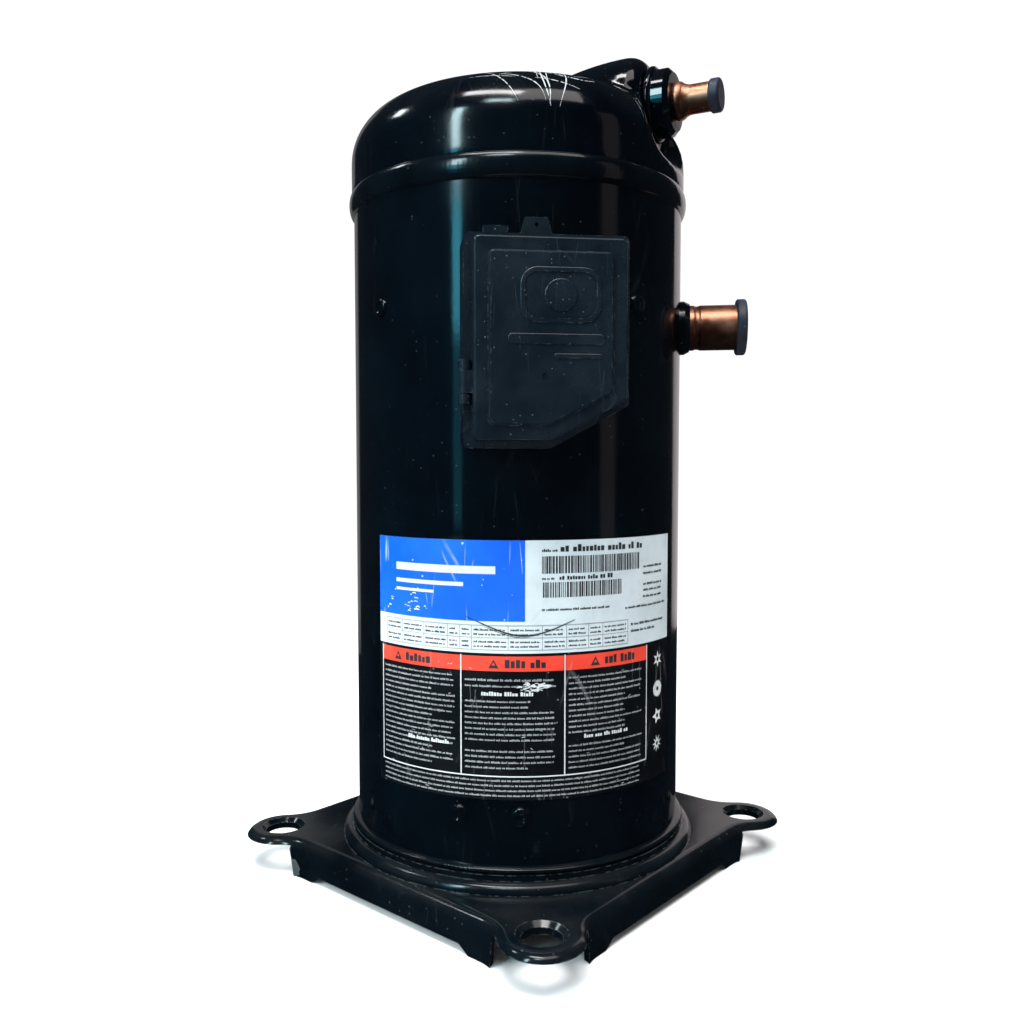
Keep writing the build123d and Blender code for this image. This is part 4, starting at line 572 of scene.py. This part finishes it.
class LabelPrint:
    """Collects printed patches on the shell's curve; across and up are millimetres on the label."""

    def __init__(self, middle_angle, radius):
        self.middle = middle_angle
        self.radius = radius
        self.points = []
        self.faces = []
        self.inks = []

    def spot(self, across, up, level):
        angle = self.middle + across * MM / self.radius
        radius = self.radius + level * LABEL_LAYER
        return (radius * math.cos(angle), radius * math.sin(angle), up * MM)

    def strip(self, lower, upper, ink, level):
        """A patch between two rows of (across, up) points."""
        start = len(self.points)
        for near, far in zip(lower, upper):
            self.points.append(self.spot(*near, level))
            self.points.append(self.spot(*far, level))
        for step in range(len(lower) - 1):
            here = start + 2 * step
            self.faces.append((here, here + 2, here + 3, here + 1))
            self.inks.append(ink)

    def block(self, left, right, low, high, ink, level=1):
        steps = max(1, math.ceil((right - left) / 3.0))
        across = [left + (right - left) * step / steps for step in range(steps + 1)]
        self.strip([(a, low) for a in across], [(a, high) for a in across], ink, level)

    def stroke(self, route, width, ink, level=4):
        """A thin line along a route of (across, up) points, tapered at both ends."""
        lower, upper = [], []
        last = len(route) - 1
        for index, (across, up) in enumerate(route):
            before, after = route[max(0, index - 1)], route[min(last, index + 1)]
            along = Vector((after[0] - before[0], after[1] - before[1])).normalized()
            half = width / 2 * (0.35 + 0.65 * math.sin(math.pi * (index + 0.5) / (last + 1)))
            lower.append((across + along.y * half, up - along.x * half))
            upper.append((across - along.y * half, up + along.x * half))
        self.strip(lower, upper, ink, level)

    def words(self, left, right, middle, tall, ink, chance, fill=1.0, level=3):
        """A row of blank upright dashes, grouped and spaced like small print."""
        at = left
        end = left + (right - left) * fill
        while at < end - tall:
            for _ in range(chance.randint(2, 8)):
                wide = tall * chance.uniform(0.38, 0.62)
                rise = chance.choice((0.16, 0.20, 0.34, 0.5))
                if at + wide > end:
                    break
                self.block(at, at + wide, middle - tall / 2, middle + tall * rise, ink, level)
                at += wide + tall * 0.16
            at += tall * 0.5

    def burst(self, across, up, spikes, inner, outer, ink, chance, level=3):
        """A spiked disc drawn as a fan of triangles round its middle."""
        hub = len(self.points)
        self.points.append(self.spot(across, up, level))
        for step in range(2 * spikes):
            angle = math.pi * step / spikes
            reach = (outer if step % 2 else inner) * chance.uniform(0.88, 1.0)
            tip = (across + reach * math.cos(angle), up + reach * math.sin(angle))
            self.points.append(self.spot(*tip, level))
        for step in range(2 * spikes):
            self.faces.append((hub, hub + 1 + step, hub + 1 + (step + 1) % (2 * spikes)))
            self.inks.append(ink)

    def warning_triangle(self, across, up, tall):
        """A plain dark triangle with a light middle."""
        for size, ink, level in ((1.0, DARK, 4), (0.34, RED, 5)):
            low, high, half = up - tall / 2 * size, up + tall / 2 * size, tall * 0.58 * size
            foot = [(across - half, low), (across + half, low)]
            peak = [(across - PEAK_HALF, high), (across + PEAK_HALF, high)]
            self.strip(foot, peak, ink, level)

    def bars(self, left, right, low, high, chance, level=3):
        """A plain row of upright bars of mixed width that encodes nothing."""
        at = left
        while at < right:
            wide = chance.choice((0.35, 0.35, 0.6, 0.9))
            self.block(at, min(at + wide, right), low, high, DARK, level)
            at += wide + chance.choice((0.35, 0.6))


def label_panels(label):
    """The ground colours: a blue panel, a silver panel with a strip under the blue, and a red band."""
    left, right = label.left, label.right
    label.block(left, right, LABEL_PARTING, label.top, SILVER, 1)
    label.block(left, -3.7, 151.5, label.top, BLUE, 2)
    label.block(left, right, label.bottom, LABEL_PARTING, BLACK, 1)
    for start, end in ((-85.3, -35.8), (-34.8, 15.4), (16.4, 66.3)):
        label.block(start, end, 127.3, 134.6, RED, 2)


def label_columns(label, chance):
    """Three boxed columns of small rows, a warning triangle heading each, and rows along the bottom."""
    for edge in (-85.5, -35.3, 15.9, 66.3):
        label.block(edge - 0.3, edge + 0.3, 75.7, 135.0, WHITE, 3)
    label.block(-85.8, 66.6, 75.4, 76.0, WHITE, 3)
    columns = (
        (-83.5, [(124.6 - 2.62 * row, 1.0) for row in range(18)]),
        (-33.3, [(123.0, 1.2), (120.0, 1.0)] + [(112.5 - 2.7 * row, 1.0) for row in range(8)]
         + [(88.0 - 2.7 * row, 1.0) for row in range(4)]),
        (17.9, [(123.6 - 2.7 * row, 1.0) for row in range(11)]
         + [(90.0 - 2.7 * row, 1.0) for row in range(5)]),
    )
    for start, rows in columns:
        for up, tall in rows:
            label.words(start, start + 46.5, up, tall, GREY, chance, chance.choice((0.97, 0.95, 0.7)))
    for start, up, ink in ((-25.0, 116.3, WHITE), (-66.0, 91.0, WHITE), (26.0, 94.2, WHITE)):
        label.words(start, start + 26, up, 2.0, ink, chance, level=4)
    for start in (-73.0, -19.0, 32.0):
        label.warning_triangle(start, 130.9, 4.4)
        label.words(start + 5.5, start + 27, 131.0, 4.0, DARK, chance, level=4)
    for row in range(4):
        label.words(-84.0, 64.0, 73.6 - 2.45 * row, 0.95, GREY, chance, 0.98)


def label_symbols(label, chance):
    """Four plain white pictograms in a column: bursts with different numbers of spikes."""
    for up, spikes, inner in ((126.0, 6, 0.42), (110.5, 16, 0.86), (96.3, 5, 0.5), (81.6, 9, 0.38)):
        label.burst(76.7, up, spikes, inner * 4.8, 4.8, WHITE, chance)
        label.burst(76.7, up, 12, 1.1, 1.3, DARK, chance, level=4)


def label_silver_rows(label, chance):
    """The rows, bars and table on the silver ground, and plain bars on the blue."""
    label.words(4.4, 12.0, 185.8, 1.3, DARK, chance)
    label.words(13.5, 62.0, 186.8, 3.4, DARK, chance)
    label.bars(4.4, 59.7, 174.6, 183.0, chance)
    label.words(4.4, 12.0, 172.2, 1.0, DARK, chance)
    label.words(13.0, 42.0, 172.6, 2.2, DARK, chance)
    label.bars(4.9, 47.3, 163.0, 170.4, chance)
    for up in (175.5, 172.0, 166.5, 163.5, 160.2):
        label.words(63.0, 84.0, up, 1.2, DARK, chance, 0.8)
    label.words(4.4, 40.0, 157.2, 1.2, DARK, chance)
    label.words(50.0, 84.0, 155.6, 1.1, DARK, chance)
    label.block(-82.0, 52.0, 149.3, 149.7, GREY, 3)
    label.block(-82.0, 52.0, 137.4, 137.8, GREY, 3)
    label.block(-82.0, 52.0, 143.4, 143.7, GREY, 3)
    table = (-82.0, -70.0, -56.0, -42.5, -36.0, -30.0, -12.0, 4.5, 16.5, 28.0, 36.0, 51.7)
    for edge in table:
        label.block(edge, edge + 0.3, 137.4, 149.7, GREY, 3)
    for left, right in zip(table, table[1:]):
        for up in (147.4, 145.2, 141.6, 139.4):
            label.words(left + 1.2, right - 0.8, up, 0.95, DARK, chance)
    label.words(54.0, 82.0, 147.0, 1.3, DARK, chance)
    label.words(54.0, 82.0, 143.6, 1.3, DARK, chance, 0.7)
    label.block(-74.0, -18.0, 174.4, 178.2, WHITE, 3)
    label.block(-74.0, -34.0, 168.2, 170.2, WHITE, 3)
    label.block(-74.0, -50.0, 164.2, 165.6, WHITE, 3)


def label_wear(label, chance):
    """A long curved scratch, a scuff on the black, and nicks in the blue."""
    arc = []
    for step in range(25):
        share = step / 24
        across = -32.6 + 53.6 * share
        sag = 8.6 * math.sin(math.pi * min(1.0, share * 0.93))
        arc.append((across, 153.6 - sag + 0.4 * math.sin(9 * share)))
    label.stroke(arc, 0.75, DARK, 5)
    label.stroke([(a, u - 0.9) for a, u in arc[4:15]], 0.3, DARK, 5)
    for _ in range(34):
        across = chance.gauss(-1.0, 4.5)
        up = chance.gauss(119.8, 1.5)
        reach = chance.uniform(0.8, 4.5)
        end = (across + reach, up + chance.uniform(-0.7, 0.9))
        route = [(across, up), (across + reach / 2, up + 0.2), end]
        label.stroke(route, chance.uniform(0.3, 1.0), WHITE, 5)
    for _ in range(22):
        across = chance.uniform(-80.0, -52.0)
        up = chance.gauss(159.0, 3.5)
        reach = chance.uniform(0.6, 3.0)
        label.stroke([(across, up), (across + reach / 2, up + 0.4), (across + reach, up)],
                     chance.uniform(0.2, 0.8), SILVER, 5)
    for _ in range(30):
        across = chance.uniform(label.left + 2, label.right - 2)
        up = chance.uniform(label.bottom + 2, 134.0)
        label.stroke([(across, up), (across + chance.uniform(0.3, 2.0), up + chance.uniform(-1.0, 1.0))],
                     chance.uniform(0.12, 0.3), WHITE, 5)


def make_nameplate_print():
    low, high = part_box("nameplate")
    radius = high.x
    half_span = (math.atan2(high.y, math.sqrt(radius ** 2 - high.y ** 2)) + math.pi / 4) * radius / MM
    label = LabelPrint(-math.pi / 4, radius)
    label.left, label.right = -half_span + 0.3, half_span - 0.3
    label.bottom, label.top = low.z / MM + 0.3, high.z / MM - 0.3
    chance = random.Random(LABEL_SEED)
    label_panels(label)
    label_silver_rows(label, chance)
    label_columns(label, chance)
    label_symbols(label, chance)
    label_wear(label, chance)
    mesh = mesh_from("nameplate_print", label.points, label.faces)
    piece = add_piece("nameplate_print", mesh, INKS, "housing")
    mesh.polygons.foreach_set("material_index", label.inks)
    mesh.update()
    return piece


# ---------------------------------------------------------------- cover emblem
COVER_TURN = math.radians(-42.0)
COVER_OUT = Vector((math.cos(COVER_TURN), math.sin(COVER_TURN), 0))
COVER_ACROSS = Vector((-math.sin(COVER_TURN), math.cos(COVER_TURN), 0))


def round_outline(middle, wide, tall, corner, steps=6):
    """A round-cornered rectangle's outline as (across, up) points."""
    points = []
    for quarter, (side, rise) in enumerate(((1, 1), (-1, 1), (-1, -1), (1, -1))):
        centre = (middle[0] + side * (wide / 2 - corner), middle[1] + rise * (tall / 2 - corner))
        for step in range(steps + 1):
            angle = (quarter + step / steps) * math.pi / 2
            points.append((centre[0] + corner * math.cos(angle), centre[1] + corner * math.sin(angle)))
    return points


def make_cover_emblem():
    """A plain moulded badge: a round-cornered frame round a disc, over two blank bars."""
    face = max((Vector(v.co).dot(COVER_OUT) for v in nodes["terminal_cover"].data.vertices))
    centre_up = sum(corner.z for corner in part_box("terminal_cover")) / 2 / MM
    rise, draft = 0.55 * MM, 0.35
    points, faces = [], []

    def put(across, up, height):
        spot = COVER_OUT * (face + height) + COVER_ACROSS * across * MM + UP * (centre_up + up) * MM
        points.append(spot)
        return len(points) - 1

    def raised(middle, wide, tall, corner):
        low = [put(*p, -0.1 * MM) for p in round_outline(middle, wide, tall, corner)]
        shoulder = [put(*p, rise - 0.15 * MM) for p in
                    round_outline(middle, wide - draft, tall - draft, max(0.1, corner - draft / 2))]
        top = [put(*p, rise) for p in
               round_outline(middle, wide - 2.6 * draft, tall - 2.6 * draft, max(0.1, corner - draft * 1.3))]
        for ring, following in ((low, shoulder), (shoulder, top)):
            for i in range(len(ring)):
                j = (i + 1) % len(ring)
                faces.append((ring[i], ring[j], following[j], following[i]))
        return top

    def solid(middle, wide, tall, corner):
        faces.append(tuple(raised(middle, wide, tall, corner)))

    def frame_ring(middle, wide, tall, corner, band):
        outer_top = raised(middle, wide, tall, corner)
        inner_top = [put(*p, rise) for p in
                     round_outline(middle, wide - 2 * band, tall - 2 * band, corner - band)]
        inner_low = [put(*p, -0.1 * MM) for p in
                     round_outline(middle, wide - 2 * band - draft, tall - 2 * band - draft, corner - band)]
        for ring, following in ((outer_top, inner_top), (inner_top, inner_low)):
            for i in range(len(ring)):
                j = (i + 1) % len(ring)
                faces.append((ring[i], ring[j], following[j], following[i]))

    frame_ring((4.0, 17.0), 37.0, 25.0, 8.0, 2.2)
    solid((4.0, 17.0), 15.0, 15.0, 7.4)
    solid((2.0, -2.5), 44.0, 5.0, 2.0)
    solid((12.0, -10.0), 22.0, 2.4, 1.0)
    mesh = mesh_from("cover_emblem", points, faces)
    plastic = finishes["black_plastic"]
    return add_piece("cover_emblem", mesh, [plastic], "cover", smooth=False)


# ---------------------------------------------------------------- marks on the cap
MARK_SEED = 12
MARK_LIFT = 0.06 * MM


def make_cap_marks(skin):
    """Loose strokes rubbed through the paint of the cap, laid on its surface."""
    corners = [v.co for v in skin.data.vertices]
    surface = BVHTree.FromPolygons(corners, [tuple(f.vertices) for f in skin.data.polygons])
    chance = random.Random(MARK_SEED)
    points, faces = [], []

    def scribe(start, turns, length, width):
        """start is (bearing, distance from the axis in mm); turns bend the stroke as it runs."""
        bearing = math.radians(start[0])
        at = Vector((math.cos(bearing), math.sin(bearing), 0)) * start[1] * MM
        heading = bearing + math.radians(turns[0])
        steps = max(6, int(length / 0.9))
        previous = None
        for step in range(steps + 1):
            share = step / steps
            ahead = Vector((math.cos(heading), math.sin(heading), 0))
            source = at + UP * 0.5
            spot, normal, _, _ = surface.ray_cast(source, -UP)
            if spot is not None and normal.z > 0.15:
                side = normal.cross(ahead).normalized()
                half = width * MM / 2 * (0.3 + 0.7 * math.sin(math.pi * share)) * chance.uniform(0.6, 1.2)
                points.append(spot + normal * MARK_LIFT + side * half)
                points.append(spot + normal * MARK_LIFT - side * half)
                pair = len(points) - 2
                if previous is not None and chance.random() > 0.12:
                    faces.append((previous, pair, pair + 1, previous + 1))
                previous = pair
            else:
                previous = None
            slope = max(0.25, normal.z) if normal is not None else 1.0
            at += ahead * length / steps * MM * slope
            heading += math.radians(turns[1] + (turns[2] - turns[1]) * share) / steps

    for start, turns, length, width in (
        ((-52, 66), (60, 0, 160), 52, 0.8), ((-48, 74), (60, -40, -220), 44, 0.7),
        ((-40, 68), (-20, 60, 120), 50, 0.8), ((-56, 80), (75, 20, -90), 40, 0.6),
        ((-34, 72), (20, -120, -60), 42, 0.7), ((-62, 76), (50, 10, 30), 40, 0.5),
        ((-30, 80), (110, 30, 60), 30, 0.5), ((-44, 84), (88, -10, 10), 34, 0.6),
        ((-66, 82), (92, 8, -8), 30, 0.4), ((-46, 58), (8, 20, -40), 30, 0.5),
        ((-38, 62), (-5, -20, 30), 30, 0.5),
    ):
        scribe(start, turns, length, width)
    for _ in range(26):
        start = (chance.uniform(-110, 20), chance.uniform(30, 88))
        scribe(start, (chance.uniform(0, 180), 0, chance.uniform(-20, 20)), chance.uniform(3, 14), 0.22)
    mesh = mesh_from("cap_marks", points, faces)
    return add_piece("cap_marks", mesh, [mark_white], "housing", smooth=False)


cap_skin = make_cap_skin()
make_cap_marks(cap_skin)
make_cover_emblem()
make_bead("seam_bead", "seam_weld", 2.6 * MM, 0.02 * MM, 3)
make_bead("base_bead", "base_weld", 2.0 * MM, 0.12 * MM, 8)
make_nameplate_print()


# ---------------------------------------------------------------- floor, light and camera
VIEW_ANGLE = math.radians(41.06)
CAMERA_RIGHT = -6.7 * MM
CAMERA_BACK = 540.6 * MM
CAMERA_HEIGHT = 229.0 * MM
CAMERA_TILT = math.radians(86.86)
CAMERA_SWING = math.radians(0.38)
CAMERA_LENS = 33.13
LIGHT_AIM = Vector((0, 0, 0.22))
FLOOR_HALF = 6.0
FADE_START, FADE_END = 0.35, 0.95
RIGHT = Vector((math.cos(VIEW_ANGLE), math.sin(VIEW_ANGLE), 0))
AWAY = Vector((-math.sin(VIEW_ANGLE), math.cos(VIEW_ANGLE), 0))


def make_camera():
    data = bpy.data.cameras.new("camera")
    data.sensor_width = 36.0
    data.lens = CAMERA_LENS
    data.clip_start = 0.01
    camera = bpy.data.objects.new("camera", data)
    camera.location = CAMERA_RIGHT * RIGHT - CAMERA_BACK * AWAY + CAMERA_HEIGHT * UP
    camera.rotation_euler = (CAMERA_TILT, 0, VIEW_ANGLE - CAMERA_SWING)
    bpy.context.scene.collection.objects.link(camera)
    bpy.context.scene.camera = camera


def softbox(name, bearing, elevation, distance, wide, tall, power, colour=(1, 1, 1), gleam=True):
    """An area light aimed at the object; bearing 0 is behind the camera and grows to the right."""
    turn, rise = math.radians(bearing), math.radians(elevation)
    flat = math.sin(turn) * RIGHT - math.cos(turn) * AWAY
    place_at = LIGHT_AIM + distance * (math.cos(rise) * flat + math.sin(rise) * UP)
    data = bpy.data.lights.new(name, "AREA")
    data.shape = "RECTANGLE"
    data.size = wide
    data.size_y = tall
    data.energy = power
    data.color = colour
    light = bpy.data.objects.new(name, data)
    light.location = place_at
    light.rotation_euler = (LIGHT_AIM - place_at).to_track_quat("-Z", "Y").to_euler()
    light.visible_camera = False
    light.visible_glossy = gleam
    bpy.context.scene.collection.objects.link(light)


def make_floor():
    """A pale floor that the gloss sees only dimly."""
    corners = [(x * FLOOR_HALF, y * FLOOR_HALF, 0) for x, y in ((-1, -1), (1, -1), (1, 1), (-1, 1))]
    mesh = mesh_from("floor", corners, [(0, 1, 2, 3)])
    material, tree, shader = new_material("pale_floor")
    cloud = place(tree, mottle, Scale=2.0)
    wire(tree, blend_colour(tree, cloud.outputs["Value"], (0.90, 0.90, 0.90), (0.94, 0.94, 0.94)),
         shader.inputs["Base Color"])
    shader.inputs["Roughness"].default_value = 0.9
    shader.inputs["Specular IOR Level"].default_value = 0.0
    rays = node(tree, "ShaderNodeLightPath")
    dim = node(tree, "ShaderNodeEmission", in_Color=(0.010, 0.013, 0.018, 1), in_Strength=1.0)
    choose = node(tree, "ShaderNodeMixShader")
    wire(tree, rays.outputs["Is Glossy Ray"], choose.inputs[0])
    wire(tree, shader.outputs["BSDF"], choose.inputs[1])
    wire(tree, dim.outputs["Emission"], choose.inputs[2])
    where = node(tree, "ShaderNodeTexCoord")
    reach = node(tree, "ShaderNodeVectorMath", operation="LENGTH")
    wire(tree, where.outputs["Object"], reach.inputs[0])
    clear = node(tree, "ShaderNodeBsdfTransparent")
    fade = node(tree, "ShaderNodeMixShader")
    wire(tree, spread(tree, reach.outputs["Value"], FADE_START, FADE_END), fade.inputs[0])
    wire(tree, choose.outputs["Shader"], fade.inputs[1])
    wire(tree, clear.outputs["BSDF"], fade.inputs[2])
    output = next(n for n in tree.nodes if n.type == "OUTPUT_MATERIAL")
    wire(tree, fade.outputs["Shader"], output.inputs["Surface"])
    mesh.materials.append(material)
    floor = bpy.data.objects.new("floor", mesh)
    bpy.context.scene.collection.objects.link(floor)


def make_world():
    """White behind the object, soft grey as ambient light, and nearly dark in the gloss."""
    world = bpy.data.worlds.new("studio")
    world.use_nodes = True
    tree = world.node_tree
    tree.nodes.clear()
    rays = node(tree, "ShaderNodeLightPath")
    ambient = node(tree, "ShaderNodeBackground", in_Color=(0.95, 0.98, 1.0, 1), in_Strength=0.28)
    gleam = node(tree, "ShaderNodeBackground", in_Color=(0.8, 0.9, 1.0, 1), in_Strength=0.020)
    white = node(tree, "ShaderNodeBackground", in_Color=(1, 1, 1, 1), in_Strength=1.05)
    first, second = node(tree, "ShaderNodeMixShader"), node(tree, "ShaderNodeMixShader")
    wire(tree, rays.outputs["Is Glossy Ray"], first.inputs[0])
    wire(tree, ambient.outputs[0], first.inputs[1])
    wire(tree, gleam.outputs[0], first.inputs[2])
    wire(tree, rays.outputs["Is Camera Ray"], second.inputs[0])
    wire(tree, first.outputs[0], second.inputs[1])
    wire(tree, white.outputs[0], second.inputs[2])
    output = node(tree, "ShaderNodeOutputWorld")
    wire(tree, second.outputs[0], output.inputs["Surface"])
    bpy.context.scene.world = world


def make_lights():
    softbox("left_strip_low", -40, 3, 1.5, 0.15, 0.40, 0.16, (0.10, 0.70, 1.0))
    softbox("left_strip", -40, 15, 1.5, 0.15, 0.26, 0.75, (0.12, 0.74, 1.0))
    softbox("left_strip_high", -40, 31, 1.5, 0.13, 0.50, 4.6, (0.66, 0.94, 1.0))
    softbox("left_spot", -98, 44, 1.5, 0.16, 0.16, 1.6, (0.85, 0.95, 1.0))
    softbox("left_fill", -60, 18, 1.8, 1.2, 1.2, 29.0, (0.90, 0.97, 1.0), gleam=False)
    softbox("top_box", -25, 66, 1.3, 0.55, 0.16, 5.0)
    softbox("front_spot", -14, 50, 1.4, 0.30, 0.10, 2.0, (0.75, 0.95, 1.0))
    softbox("top_soft", 25, 62, 1.4, 0.8, 0.5, 3.4, (1.0, 0.96, 0.94))
    softbox("top_fill", 0, 86, 2.6, 2.6, 2.6, 120.0, gleam=False)
    softbox("right_strip", 61, 12, 1.5, 0.30, 1.4, 0.26, (1.0, 0.90, 0.90))
    softbox("right_rim", 150, 14, 1.6, 0.8, 1.6, 3.0, (1.0, 0.90, 0.92))
    softbox("left_rim", -155, 12, 1.6, 0.5, 1.6, 0.6)


make_camera()
make_floor()
make_world()
make_lights()
scene = bpy.context.scene
scene.view_settings.view_transform = "Standard"
scene.view_settings.look = "None"
